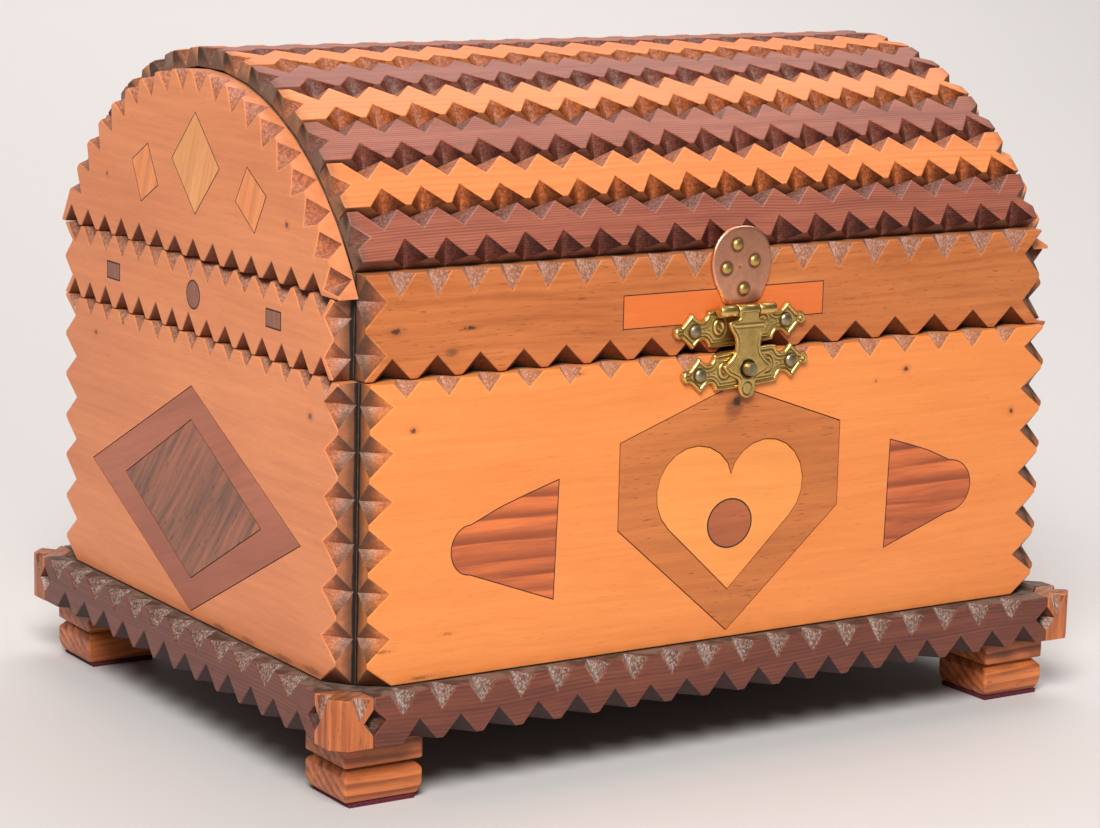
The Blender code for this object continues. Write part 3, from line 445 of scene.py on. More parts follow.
def metal(name, bright, dull, roughness, tarnish):
    """Rubbed metal, tarnished in its hollows."""
    if name in bpy.data.materials:
        return bpy.data.materials[name]
    material, made, shader = new_material(name)
    spot = made.coordinates()
    patch = made.noise(spot, 260.0, 4.0, 0.6)
    speck = made.noise(spot, 1500.0, 3.0)
    worn = made.most(made.attribute("hollow", "Fac"), made.span(made.closeness(0.0012), 0.75, 0.25))
    mottled = made.span(made.fuse(speck, 0.4, patch), 0.55, 0.95)
    amount = made.most(worn, made.times(mottled, tarnish), clamp=True)
    made.feed(shader.inputs["Base Color"], made.mix(amount, bright, dull))
    made.feed(shader.inputs["Roughness"], made.fuse(amount, 0.35, roughness))
    shader.inputs["Metallic"].default_value = 1.0
    made.bumped(shader, 0.25, 0.0001, speck)
    return material


def flat_finish(name, light, dark, scale, roughness, depth=0.0001):
    """A plain mottled finish, for felt, glue lines and the floor."""
    material, made, shader = new_material(name)
    patch = made.noise(made.coordinates(), scale, 4.0, 0.65)
    made.feed(shader.inputs["Base Color"], made.mix(made.span(patch, 0.3, 0.7), dark, light))
    shader.inputs["Roughness"].default_value = roughness
    made.bumped(shader, 0.3, depth, patch)
    return material


# The woods of this box: light and dark streaks, as a property's name or a colour, and wood()'s settings

STANDING = (math.pi / 2, 0.0, 0.0)
PLATE = dict(cloud=1.2, flecks=0.22, ledge=0.5, worn=1.08, joint=0.003, corner=0.084)
SLAT = dict(stain=1.0, ends=0.1145, dirt="lint")
PLUG = dict(turn=STANDING, seam=0.2)
WOODS = {
    "maple": ("maple_light", "maple_dark", dict(
        flecks=0.2, stain=0.75, dustiness=0.6, ledge=0.5, worn=1.06, joint=0.003, corner=0.115)),
    "side plate wood": ("plate_light", "plate_dark", dict(PLATE, stain=0.8, dustiness=0.55)),
    "end panel wood": ("plate_light", "plate_dark", dict(PLATE, stain=1.0, dustiness=0.25)),
    "rim wood": ("rim_light", "rim_dark", dict(
        cloud=1.3, streak=1.9, flecks=0.6, stain=0.7, dustiness=0.5, ledge=0.6, worn=1.15, joint=0.003,
        corner=0.115)),
    "light slat wood": ("slat_light", "slat_dark", dict(
        SLAT, streak=1.4, spacing=0.0021, lines=0.25, flecks=0.2, dustiness=0.25, gloss=0.25)),
    "dark slat wood": ("red_light", "red_dark", dict(
        SLAT, streak=1.5, spacing=0.00085, lines=0.6, flecks=0.25, dustiness=0.22, roughness=0.46, worn=1.3,
        gloss=0.33)),
    "base strip wood": ("base_light", "base_dark", dict(
        streak=1.5, spacing=0.0011, lines=0.55, flecks=0.25, dustiness=0.65, worn=1.4,
        fluff=(0.30, 0.235, 0.175))),
    "dusty base wood": ("base_light", "base_dark", dict(film=0.8, roughness=0.7)),
    "foot wood": ("foot_light", "foot_dark", dict(
        cloud=1.6, streak=1.8, spacing=0.0032, lines=0.9, flecks=0.5, dustiness=1.0, worn=1.1, seam=1.4,
        soiled=(1, 0.001, 0.0075, 0.36))),
    "corner block wood": ("foot_light", "foot_dark", dict(
        shade=0.84, cloud=1.8, streak=2.6, spacing=0.0031, lines=0.7, flecks=0.8, dustiness=1.0, worn=0.9,
        ledge=0.6)),
    "plain inner wood": ((0.52, 0.28, 0.13), (0.34, 0.17, 0.075), dict(
        outside=0.9, seam=1.2, roughness=0.6)),
    "shield wood": ("shield_light", "shield_dark", dict(streak=1.5, flecks=0.7, turn=STANDING, seam=0.6)),
    "heart wood": ((0.92, 0.353, 0.083), (0.78, 0.25, 0.053), dict(flecks=0.15, turn=STANDING, seam=0.6)),
    "diamond wood": ((0.49, 0.147, 0.069), (0.30, 0.077, 0.04), dict(
        cloud=1.6, flecks=0.1, turn=(0.35, 0.0, math.pi / 2), seam=0.6)),
    "dark diamond wood": ((0.44, 0.14, 0.067), (0.13, 0.055, 0.033), dict(
        streak=2.4, flecks=0.9, turn=(0.85, 0.0, math.pi / 2), seam=0.6)),
    "striped inlay wood": ((0.85, 0.21, 0.052), (0.36, 0.075, 0.028), dict(
        PLUG, cloud=1.4, streak=1.6, spacing=0.0048, lines=0.8, flecks=0.2)),
    "plug wood": ((0.50, 0.135, 0.048), (0.30, 0.075, 0.028), dict(PLUG, flecks=0.5)),
    "end grain plug wood": ((0.34, 0.12, 0.065), (0.2, 0.072, 0.042), dict(
        flecks=0.8, turn=(0.0, math.pi / 2, 0.0), seam=0.2)),
    "rim bar wood": ((0.80, 0.19, 0.036), (0.63, 0.13, 0.024), dict(PLUG, flecks=0.1)),
    "pale diamond wood": ((0.88, 0.38, 0.13), (0.64, 0.24, 0.075), dict(
        streak=2.2, flecks=0.3, turn=(1.2, 0.0, math.pi / 2), seam=0.2)),
    "orange diamond wood": ((0.95, 0.34, 0.11), (0.76, 0.22, 0.065), dict(
        streak=1.8, lines=0.4, spacing=0.003, turn=(1.2, 0.0, math.pi / 2), seam=0.2)),
}


def wood_of(finish, kind, name=None, marks=()):
    """A wood of the table, under a name of its own where it has marks of its own."""
    light, dark, settings = WOODS[kind]
    light, dark = (getattr(finish, shade) if isinstance(shade, str) else shade for shade in (light, dark))
    return wood(finish, name or kind, light, dark, marks=marks, **settings)


def metals_of(finish):
    """Brass for the sheets and a greyer brass for the nails and screws."""
    return [
        metal("aged brass", finish.brass_bright, finish.brass_dull, 0.32, 0.35),
        metal("grey brass", (0.45, 0.37, 0.22), (0.06, 0.045, 0.03), 0.35, 0.5),
    ]


# Pieces

def body_frame(x_axis, y_axis, spot):
    """A frame from its X and Y directions and its place."""
    x_axis, y_axis = Vector(x_axis), Vector(y_axis)
    matrix = Matrix((x_axis, y_axis, x_axis.cross(y_axis))).transposed().to_4x4()
    matrix.translation = Vector(spot)
    return matrix


def dress(piece, node):
    """The piece stands for a solid of the frame, on its body."""
    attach(piece, body_of[node])
    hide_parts(node)
    return piece


def link(name, bm, matrix, materials, local=False):
    """An object with its own frame, from a mesh in world coordinates or in that frame's."""
    if not local:
        bm.transform(matrix.inverted())
    mesh = bpy.data.meshes.new(name)
    bm.to_mesh(mesh)
    bm.free()
    for material in materials:
        mesh.materials.append(material)
    piece = bpy.data.objects.new(name, mesh)
    bpy.context.scene.collection.objects.link(piece)
    piece.matrix_world = matrix
    return piece


def solid_copy(node):
    """The node's solid, whole again: corners joined and flat faces made one."""
    bm = bmesh.new()
    bm.from_mesh(nodes[node].data)
    bmesh.ops.remove_doubles(bm, verts=bm.verts, dist=2e-6)
    bmesh.ops.dissolve_limit(bm, angle_limit=math.radians(0.6), verts=bm.verts, edges=bm.edges)
    return bm


def sort_faces(bm, out, pockets=False):
    """Marks each face as the front, a knife cut, a side wall, the back or a pocket."""
    low = min(vert.co.dot(out) for vert in bm.verts)
    for face in bm.faces:
        lean = face.normal.dot(out)
        touches = any(abs(vert.co.dot(out) - low) < 2e-5 for vert in face.verts)
        if lean > 0.999:
            face.material_index = FACE
        elif lean < -0.999:
            face.material_index = BACK
        elif abs(lean) < 0.02:
            face.material_index = POCKET if pockets and not touches else WALL
        else:
            face.material_index = CUT


def necks(face, least):
    """The edges of a face that come closer to each other than this, as between two knife cuts."""
    tight = set()
    for here in face.loops:
        near = {here.vert, here.link_loop_next.vert, here.link_loop_prev.vert}
        for there in face.loops:
            if near.intersection(there.edge.verts):
                continue
            start, end = (vert.co for vert in there.edge.verts)
            along = end - start
            share = min(1.0, max(0.0, (here.vert.co - start).dot(along) / along.length_squared))
            if (start + along * share - here.vert.co).length < least:
                tight.update((here.edge, here.link_loop_prev.edge, there.edge))
    return tight


def round_arrises(bm, width, skip=(BACK, POCKET)):
    """Rounds each outward arris of the front, as handling has, but not where two of them nearly meet."""
    arrises = []
    tight = set()
    for face in bm.faces:
        if face.material_index == FACE:
            tight |= necks(face, 2.6 * width)
    for edge in bm.edges:
        if not edge.is_manifold or not edge.is_convex or edge in tight:
            continue
        if edge.calc_face_angle() < math.radians(12):
            continue
        kinds = [face.material_index for face in edge.link_faces]
        if FACE not in kinds or any(kind in skip for kind in kinds):
            continue
        arrises.append(edge)
    bmesh.ops.bevel(
        bm, geom=arrises, offset=width, offset_type="OFFSET", segments=2, profile=0.5, affect="EDGES",
        clamp_overlap=True, material=WORN,
    )


def folded(bm):
    """Whether a face has been pushed through itself, so that part of it faces the other way."""
    for loops in bm.calc_loop_triangles():
        a, b, c = (loop.vert.co for loop in loops)
        turn = (b - a).cross(c - a)
        if turn.length > 2e-9 and turn.dot(loops[0].face.normal) < 0.0:
            return True
    return False


def mark_finish(piece, kinds, hand, swap=None, long_walls=0.3):
    """Writes what each face is, its own random tone, the board's and which way its cut runs."""
    swap = swap or {}
    board = hand.uniform(0.5, 9.5)
    mesh = piece.data
    finish = mesh.attributes.new("finish", "FLOAT_VECTOR", "FACE")
    tone = mesh.attributes.new("tone", "FLOAT_VECTOR", "FACE")
    for polygon, kind in zip(mesh.polygons, kinds):
        kind = swap.get(kind, kind)
        wall = (1.0 if abs(polygon.normal.x) > 0.9 else long_walls) if kind == WALL else 0.0
        finish.data[polygon.index].vector = (kind == WORN, kind == CUT, wall)
        tone.data[polygon.index].vector = (hand.random(), board, 0.0)
        polygon.use_smooth = True
    mesh.set_sharp_from_angle(angle=math.radians(50))
    sharp = mesh.attributes["sharp_edge"].data
    beside = {}
    for polygon, kind in zip(mesh.polygons, kinds):
        if kind != WORN:
            for key in polygon.edge_keys:
                beside.setdefault(key, []).append(polygon)
    for edge in mesh.edges:
        pair = beside.get(edge.key, ())
        if len(pair) == 2 and pair[0].normal.angle(pair[1].normal, 0.0) > 0.12:
            sharp[edge.index].value = True
            if all(kinds[polygon.index] == CUT for polygon in pair):
                start, end = (mesh.vertices[i].co for i in edge.vertices)
                heading = math.atan2(end.y - start.y, end.x - start.x) / math.pi % 1.0
                for polygon in pair:
                    tone.data[polygon.index].vector[2] = heading
    weights = piece.modifiers.new("flat faces", "WEIGHTED_NORMAL")
    weights.keep_sharp = True


def worn_board(node, name, out, matrix, material, width, seed, pockets=False, swap=None, long_walls=0.3,
               notches=()):
    """A board whose arrises are worn, in place of the frame's sharp one."""
    for share in (1.0, 0.7, 0.4, 0.15):
        bm = solid_copy(node)
        if notches:
            bm = cut_notches(bm, notches)
        sort_faces(bm, Vector(out), pockets)
        round_arrises(bm, width * share)
        if not folded(bm):
            break
        bm.free()
    else:
        raise RuntimeError(node + ": its arrises can't be rounded")
    kinds = [face.material_index for face in bm.faces]
    for face in bm.faces:
        face.material_index = 0
    piece = link(name, bm, matrix, [material])
    mark_finish(piece, kinds, random.Random(seed), swap, long_walls)
    return dress(piece, node)


SIDES = {
    "front": ((1, 0, 0), (0, -1, 0)),
    "back": ((-1, 0, 0), (0, 1, 0)),
    "left": ((0, -1, 0), (-1, 0, 0)),
    "right": ((0, 1, 0), (1, 0, 0)),
}


def side_frame(node, side):
    """Local X runs along the board, Y up and Z out, from the middle of the node."""
    low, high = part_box(node)
    return body_frame(SIDES[side][0], (0, 0, 1), (low + high) / 2)


def on_face(face, across, up, rise=0.0):
    """A place on the front, the front rim or the left end, or that far out of its face."""
    if face == "left":
        return Vector((LEFT_FACE - rise, across, up))
    return Vector((across, (RIM_FACE if face == "rim" else FRONT_FACE) - rise, up))


# Nail holes, knots and smudges: across, up, radius, strength and how far each is drawn out along the grain
MARKS = {
    "carved_front": ("front", (
        (0.0631, 0.1046, 0.0010, 0.9, 1.2), (0.0522, 0.1019, 0.0005, 0.7, 1.0),
        (0.1039, 0.0888, 0.0010, 0.9, 1.0), (-0.0511, 0.1120, 0.0007, 0.8, 3.0),
        (-0.1020, 0.1008, 0.0009, 0.8, 1.3), (0.0060, 0.1030, 0.0030, 0.2, 1.5),
        (-0.1105, 0.0420, 0.0006, 0.5, 5.0), (-0.0980, 0.0335, 0.0006, 0.5, 7.0),
        (-0.0905, 0.0445, 0.0005, 0.35, 4.0),
    )),
    "shield_inlay": ("front", ((0.0028, 0.1001, 0.0020, 0.95, 1.0), (0.0018, 0.0978, 0.0042, 0.4, 1.0))),
    "lid_rim_front": ("rim", (
        (-0.1060, 0.1269, 0.0011, 0.85, 1.8), (-0.0831, 0.1263, 0.0006, 0.85, 3.5),
        (-0.0888, 0.1201, 0.0015, 0.5, 1.7), (-0.0480, 0.1320, 0.0004, 0.5, 4.0),
    )),
    "carved_left": ("left", (
        (0.0626, 0.1049, 0.0009, 0.8, 1.1), (-0.0693, 0.1027, 0.0012, 0.7, 1.2),
        (-0.0720, 0.0338, 0.0014, 0.5, 5.0), (-0.0560, 0.0334, 0.0011, 0.5, 6.0),
        (-0.0350, 0.0334, 0.0010, 0.4, 5.0), (-0.0180, 0.0332, 0.0012, 0.5, 4.0),
    )),
    "end_panel_left": ("left", ((-0.0556, 0.1518, 0.0010, 0.8, 1.1), (0.0548, 0.1532, 0.0008, 0.7, 1.1))),
}


def marks_on(node, matrix):
    """The node's marks, each with its middle in the piece's own frame."""
    face, rows = MARKS.get(node, (None, ()))
    back = matrix.inverted()
    return [(tuple(back @ on_face(face, across, up)), *rest) for across, up, *rest in rows]


def carved_board(finish, stem, side, seed, kind, name=None, **settings):
    """A board on one side of the box or its lid, in its wood and with the marks that it has."""
    node = stem + side
    place = side_frame(node, side)
    material = wood_of(finish, kind, name, marks_on(node, place))
    worn_board(node, "worn_" + node, SIDES[side][1], place, material, finish.worn_edge, seed, **settings)


# Operators

class TRINKETBOX_OT_plates(bpy.types.Operator):
    """Make the four carved plates of the box"""
    bl_idname = "trinket_box.plates"
    bl_label = "Carved Plates"

    def execute(self, context):
        finish = finish_of(context)
        for number, (side, wood_names) in enumerate((
            ("front", ("maple", "maple with nail holes")), ("back", ("side plate wood",)),
            ("left", ("side plate wood", "left plate wood")), ("right", ("side plate wood",)),
        )):
            inlaid = side in ("front", "left")
            carved_board(finish, "carved_", side, 10 + number, *wood_names, pockets=inlaid)
        return {"FINISHED"}


class TRINKETBOX_OT_rims(bpy.types.Operator):
    """Make the lid's four rims and its two round-topped end panels"""
    bl_idname = "trinket_box.rims"
    bl_label = "Lid Rims and End Panels"

    def execute(self, context):
        finish = finish_of(context)
        for number, (side, wood_names) in enumerate((
            ("front", ("rim wood", "rim wood with knots")), ("back", ("rim wood",)),
            ("left", ("side plate wood",)), ("right", ("side plate wood",)),
        )):
            carved_board(finish, "lid_rim_", side, 20 + number, *wood_names)
        carved_board(finish, "end_panel_", "left", 30, "end panel wood", "left end panel wood")
        carved_board(finish, "end_panel_", "right", 31, "end panel wood")
        return {"FINISHED"}


# Each slat is this much wider at its back on either side, so that no light comes through between them
SLAT_SEAL = 0.0002


class TRINKETBOX_OT_slats(bpy.types.Operator):
    """Make the thirteen slats of the dome, alternately dark and light"""
    bl_idname = "trinket_box.slats"
    bl_label = "Slats"

    def execute(self, context):
        finish = finish_of(context)
        for node in sorted(n for n in nodes if n.startswith("slat_")):
            number = int(node[-2:])
            faces = nodes[node].data.polygons
            largest = max(faces, key=lambda polygon: polygon.area * (polygon.normal.z > 0))
            out = Vector((0.0, largest.normal.y, largest.normal.z)).normalized()
            low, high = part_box(node)
            up_slope = Vector((0.0, out.z, -out.y))
            matrix = body_frame((1, 0, 0), up_slope, (low + high) / 2)
            material = wood_of(finish, "dark slat wood" if number % 2 else "light slat wood")
            slat = worn_board(
                node, "worn_" + node, out, matrix, material, finish.worn_edge, 40 + number, long_walls=0.5,
            )
            back = min(vert.co.z for vert in slat.data.vertices)
            for vert in slat.data.vertices:
                if vert.co.z < back + 0.0001:
                    vert.co.y += math.copysign(SLAT_SEAL, vert.co.y)
        return {"FINISHED"}


# A foot from top to bottom: how far down it is, as a share of its height, and how far its sides draw in
FOOT_PROFILE = (
    (0.0, 0.0003), (0.025, 0.0), (0.39, 0.0), (0.408, 0.0003), (0.425, 0.0017), (0.4545, 0.0020),
    (0.475, 0.0016), (0.545, 0.0005), (0.575, 0.0001), (0.62, 0.0), (0.80, 0.0), (0.90, 0.0003),
    (0.96, 0.0007), (1.0, 0.0011),
)
NOTCH_REACH = 0.0030
NOTCH_HALF = 0.0037
NOTCH_DEPTH = 0.0055


def cut_notches(bm, notches):
    """Cuts three-cornered notches into a solid, each given by its tip, its low end and its two corners."""
    tools = bmesh.new()
    for tip, low, corners in notches:
        middle = (tip + low) / 2
        points = [tip + (tip - low) * 0.3, low + (low - tip) * 0.3]
        points += [middle + (corner - middle) * 1.6 for corner in corners]
        bmesh.ops.convex_hull(tools, input=[tools.verts.new(point) for point in points])
    bmesh.ops.recalc_face_normals(tools, faces=tools.faces)
    made = []
    for name, source in (("uncut block", bm), ("notch tools", tools)):
        mesh = bpy.data.meshes.new(name)
        source.to_mesh(mesh)
        source.free()
        made.append(bpy.data.objects.new(name, mesh))
        bpy.context.scene.collection.objects.link(made[-1])
    whole, cutter = made
    cutting = whole.modifiers.new("notches", "BOOLEAN")
    cutting.operation = "DIFFERENCE"
    cutting.solver = "EXACT"
    cutting.object = cutter
    bpy.context.view_layer.update()
    evaluated = whole.evaluated_get(bpy.context.evaluated_depsgraph_get())
    cut = bmesh.new()
    cut.from_mesh(evaluated.to_mesh())
    evaluated.to_mesh_clear()
    for piece in made:
        bpy.data.meshes.remove(piece.data)
    bmesh.ops.remove_doubles(cut, verts=cut.verts, dist=2e-6)
    bmesh.ops.dissolve_limit(cut, angle_limit=math.radians(0.6), verts=cut.verts, edges=cut.edges)
    return cut


def side_notches(node):
    """The notches that a corner block shares with the ends of the base strips beside it."""
    low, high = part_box(node)
    outer = Vector((max(low.x, high.x, key=abs), max(low.y, high.y, key=abs), (low.z + high.z) / 2))
    inner = Vector((min(low.x, high.x, key=abs), min(low.y, high.y, key=abs), outer.z))
    rows = []
    for along, across in ((0, 1), (1, 0)):
        end = outer.copy()
        end[along] = inner[along]
        tip = end.copy()
        tip[along] += math.copysign(NOTCH_REACH, outer[along])
        bottom = end.copy()
        bottom[across] -= math.copysign(NOTCH_DEPTH, outer[across])
        rows.append((tip, bottom, [end + Vector((0, 0, NOTCH_HALF)), end - Vector((0, 0, NOTCH_HALF))]))
    return rows


def turned_block(low, high, profile, rounding, steps=4):
    """A block whose rounded plan draws in and out down its height."""
    bm = bmesh.new()
    rings = []
    for fall, inset_by in profile:
        ring = []
        height = high.z - (high.z - low.z) * fall
        for corner in range(4):
            x = (high.x if corner in (0, 3) else low.x)
            y = (high.y if corner in (0, 1) else low.y)
            x += (inset_by + rounding) * (-1 if corner in (0, 3) else 1)
            y += (inset_by + rounding) * (-1 if corner in (0, 1) else 1)
            for i in range(steps + 1):
                turn = math.pi / 2 * (corner + i / steps)
                spot = (x + rounding * math.cos(turn), y + rounding * math.sin(turn), height)
                ring.append(bm.verts.new(spot))
        rings.append(ring)
    count = len(rings[0])
    for upper, lower in zip(rings, rings[1:]):
        for i in range(count):
            j = (i + 1) % count
            bm.faces.new((upper[i], lower[i], lower[j], upper[j]))
    bm.faces.new(rings[0])
    bm.faces.new(rings[-1][::-1])
    return bm


class TRINKETBOX_OT_base(bpy.types.Operator):
    """Make the base board, its notched strips, the corner blocks, the feet and the felt"""
    bl_idname = "trinket_box.base"
    bl_label = "Base and Feet"

    def execute(self, context):
        finish = finish_of(context)
        nodes["base_board"].data.materials[0] = wood_of(finish, "dusty base wood")
        for number, side in enumerate(SIDES):
            carved_board(finish, "base_strip_", side, 60 + number, "base strip wood", long_walls=1.0)
        shaded_red = tuple(0.4 * channel for channel in finish.felt_red)
        felt = flat_finish("crimson felt", finish.felt_red, shaded_red, 1800.0, 0.95, 0.0003)
        for number, corner in enumerate(("front_left", "front_right", "back_left", "back_right")):
            node = "corner_block_" + corner
            low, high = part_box(node)
            upright = body_frame((0, 0, 1), (0, 1, 0), (low + high) / 2)
            worn_board(
                node, "worn_" + node, (0, 0, 1), upright, wood_of(finish, "corner block wood"),
                finish.worn_edge, 70 + number, swap={WALL: FACE, FACE: WALL}, notches=side_notches(node),
            )
            node = "foot_" + corner
            low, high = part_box(node)
            lying = body_frame((1, 0, 0), (0, 0, 1), (low + high) / 2)
            bm = turned_block(low, high, FOOT_PROFILE, finish.foot_edge)
            kinds = [FACE] * len(bm.faces)
            piece = link("worn_" + node, bm, lying, [wood_of(finish, "foot wood")])
            mark_finish(piece, kinds, random.Random(80 + number))
            dress(piece, node)
            nodes["felt_pad_" + corner].data.materials[0] = felt
        return {"FINISHED"}


class TRINKETBOX_OT_inner_boards(bpy.types.Operator):
    """Finish the boards inside the box and the lid"""
    bl_idname = "trinket_box.inner_boards"
    bl_label = "Inner Boards"

    def execute(self, context):
        finish = finish_of(context)
        plain = wood_of(finish, "plain inner wood")
        for node, solid in nodes.items():
            if node.startswith(("box_board", "lid_board", "lid_end_board")):
                solid.data.materials[0] = plain
        return {"FINISHED"}


# Rings of an inlay, from its back to its face: how far each stands out of the board's face, and whether
# it's drawn in by the width of the glue line
INLAY_RINGS = ((-0.0002, False), (0.00002, False), (0.00002, True), (0.00004, True))


def bridge(bm, lower, upper, material=0):
    """A band of faces between two rings of corners."""
    for i in range(len(lower)):
        j = (i + 1) % len(lower)
        bm.faces.new((lower[i], lower[j], upper[j], upper[i])).material_index = material


def flat_piece(name, face, outline, line, materials):
    """A thin inlay with a dark glue line round it; the outline is across and up on that face."""
    bm = bmesh.new()
    middle = Vector(outline[0]) * 0.0
    for point in outline:
        middle += Vector(point) / len(outline)
    inner = inset(outline, line)
    rings = [
        [bm.verts.new(on_face(face, *point, rise)) for point in (inner if drawn_in else outline)]
        for rise, drawn_in in INLAY_RINGS
    ]
    for number, (lower, upper) in enumerate(zip(rings, rings[1:])):
        bridge(bm, lower, upper, 1 if number < 2 else 0)
    bm.faces.new(rings[-1])
    bm.faces.new(rings[0][::-1]).material_index = 1
    bmesh.ops.recalc_face_normals(bm, faces=bm.faces)
    piece = link(name, bm, body_frame((1, 0, 0), (0, 1, 0), on_face(face, *middle)), materials)
    body = "box" if face == "front" else "lid"
    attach(piece, body)


def inset(outline, distance):
    """The same outline, moved inward all round."""
    area = sum(a[0] * b[1] - b[0] * a[1] for a, b in zip(outline, outline[1:] + outline[:1]))
    turn = 1.0 if area > 0 else -1.0
    moved = []
    for i, point in enumerate(outline):
        here = Vector(point)
        into = (here - Vector(outline[i - 1])).normalized()
        out_of = (Vector(outline[(i + 1) % len(outline)]) - here).normalized()
        first = Vector((-into.y, into.x)) * turn
        second = Vector((-out_of.y, out_of.x)) * turn
        mean = (first + second).normalized()
        moved.append(tuple(here + mean * (distance / max(0.3, mean.dot(first)))))
    return moved


def round_outline(across, up, half_width, half_height, steps=28):
    turns = [2 * math.pi * i / steps for i in range(steps)]
    return [(across + half_width * math.cos(turn), up + half_height * math.sin(turn)) for turn in turns]


def box_outline(across, up, width, height):
    return [
        (across - width / 2, up - height / 2), (across + width / 2, up - height / 2),
        (across + width / 2, up + height / 2), (across - width / 2, up + height / 2),
    ]


def nosed_outline(straight, low, high, shoulder, tip, low_shoulder, high_shoulder, slant=0.0):
    """A straight edge, two slanting sides and a rounded nose between two shoulders."""
    middle = (low_shoulder + high_shoulder) / 2
    half = (high_shoulder - low_shoulder) / 2
    nose = []
    for i in range(17):
        turn = math.pi * (i / 16 - 0.5)
        nose.append((shoulder + (tip - shoulder) * math.cos(turn), middle + half * math.sin(turn)))
    swell = [((straight * 2 + shoulder) / 3, (high * 2 + high_shoulder) / 3 + 0.0005),
             ((straight + shoulder * 2) / 3, (high + high_shoulder * 2) / 3 + 0.0007)]
    return [(straight - slant, low), *nose, *swell[::-1], (straight, high)]


class TRINKETBOX_OT_inlays(bpy.types.Operator):
    """Finish the large inlays and make the small ones and the filled nail holes"""
    bl_idname = "trinket_box.inlays"
    bl_label = "Inlays"

    def execute(self, context):
        finish = finish_of(context)
        glue = flat_finish("glue line", (0.035, 0.02, 0.014), (0.012, 0.008, 0.006), 900.0, 0.7)
        for node, kind in (
            ("shield_inlay", "shield wood"), ("heart_inlay", "heart wood"),
            ("diamond_frame_inlay", "diamond wood"), ("diamond_centre_inlay", "dark diamond wood"),
        ):
            marks = marks_on(node, Matrix.Identity(4))
            nodes[node].data.materials[0] = wood_of(finish, kind, marks=marks)
        for name, face, kind, slot, outline in (
            ("heart_plug", "front", "plug wood", "red_brown_wood",
             round_outline(0.0017, 0.0653, 0.0078, 0.0072)),
            ("right_half_round", "front", "striped inlay wood", "red_brown_wood",
             nosed_outline(0.0583, 0.0521, 0.0845, 0.0810, 0.0895, 0.0603, 0.0763, 0.0008)),
            ("left_half_round", "front", "striped inlay wood", "red_brown_wood",
             nosed_outline(-0.0558, 0.0499, 0.0836, -0.0838, -0.0899, 0.0598, 0.0738, 0.0010)),
            ("rim_bar", "rim", "rim bar wood", "orange_wood",
             [(-0.0345, 0.1223), (0.0341, 0.1223), (0.0341, 0.1319), (-0.0345, 0.1319)]),
            ("panel_centre_diamond", "left", "pale diamond wood", "light_wood",
             [(-0.0167, 0.1623), (-0.002, 0.1479), (0.0127, 0.1623), (-0.002, 0.1767)]),
            ("panel_back_diamond", "left", "orange diamond wood", "orange_wood",
             [(0.0278, 0.165), (0.021, 0.1535), (0.0322, 0.1475), (0.0381, 0.1593)]),
            ("panel_front_diamond", "left", "orange diamond wood", "orange_wood",
             [(-0.0327, 0.1648), (-0.0441, 0.158), (-0.0373, 0.147), (-0.026, 0.1545)]),
            ("rim_back_plug", "left", "end grain plug wood", "red_brown_wood",
             box_outline(0.0505, 0.125, 0.0087, 0.0053)),
            ("rim_front_plug", "left", "end grain plug wood", "red_brown_wood",
             box_outline(-0.0484, 0.1254, 0.0087, 0.0053)),
            ("rim_round_plug", "left", "end grain plug wood", "red_brown_wood",
             round_outline(-0.001, 0.1253, 0.0042, 0.0042)),
        ):
            line = finish.glue_line * (1.5 if "plug" in name else 1.0)
            flat_piece(name, face, outline, line, [wood_of(finish, kind), glue])
        return {"FINISHED"}


# Sheet metal, each piece in its own frame: X along it, Y up and Z out of the box

ALONG = (1, 0, 0)
OUTWARD = (0, 0, 1)
METAL_STEP = 0.0002
BRASS_SHEET = 0.0009
COPPER_SHEET = 0.001
GAP = 0.0003
HARDWARE_MIDDLE = 0.0046
HASP_AXIS_HEIGHT = 0.1259
AXIS_STAND = 0.0037
BARREL_RADIUS = 0.0017
BARREL_HALF = 0.0095
KNUCKLE_HALF = 0.0035
ORNAMENT_HALF_HEIGHT = 0.0055
UPPER_DROP = 0.0048
LOWER_DROP = 0.0163
UPPER_TILT = math.radians(2.4)
LOWER_TILT = math.radians(3.8)
UPPER_HALF_LENGTH = 0.0228
LOWER_HALF_LENGTH = 0.0218
NAIL_OFFSET = 0.0156
NAIL_RADIUS = 0.0019
NAIL_HEIGHT = 0.0011
STUD_PROFILE = ((0.00205, -0.0002), (0.0019, 0.0029), (0.0016, 0.0034), (0.0008, 0.0035))
STUD_HOLE = 0.0025
HASP_HALF_WIDTH = 0.0085
HASP_LENGTH = 0.0248
COPPER_MIDDLE = 0.13805
COPPER_HALF_WIDTH = 0.01015
COPPER_HALF_HEIGHT = 0.01085
COPPER_TILT = math.radians(3)
COPPER_NAILS = ((-0.0022, 0.0059), (0.0039, 0.0011), (-0.0056, -0.0006), (0.0005, -0.0067))

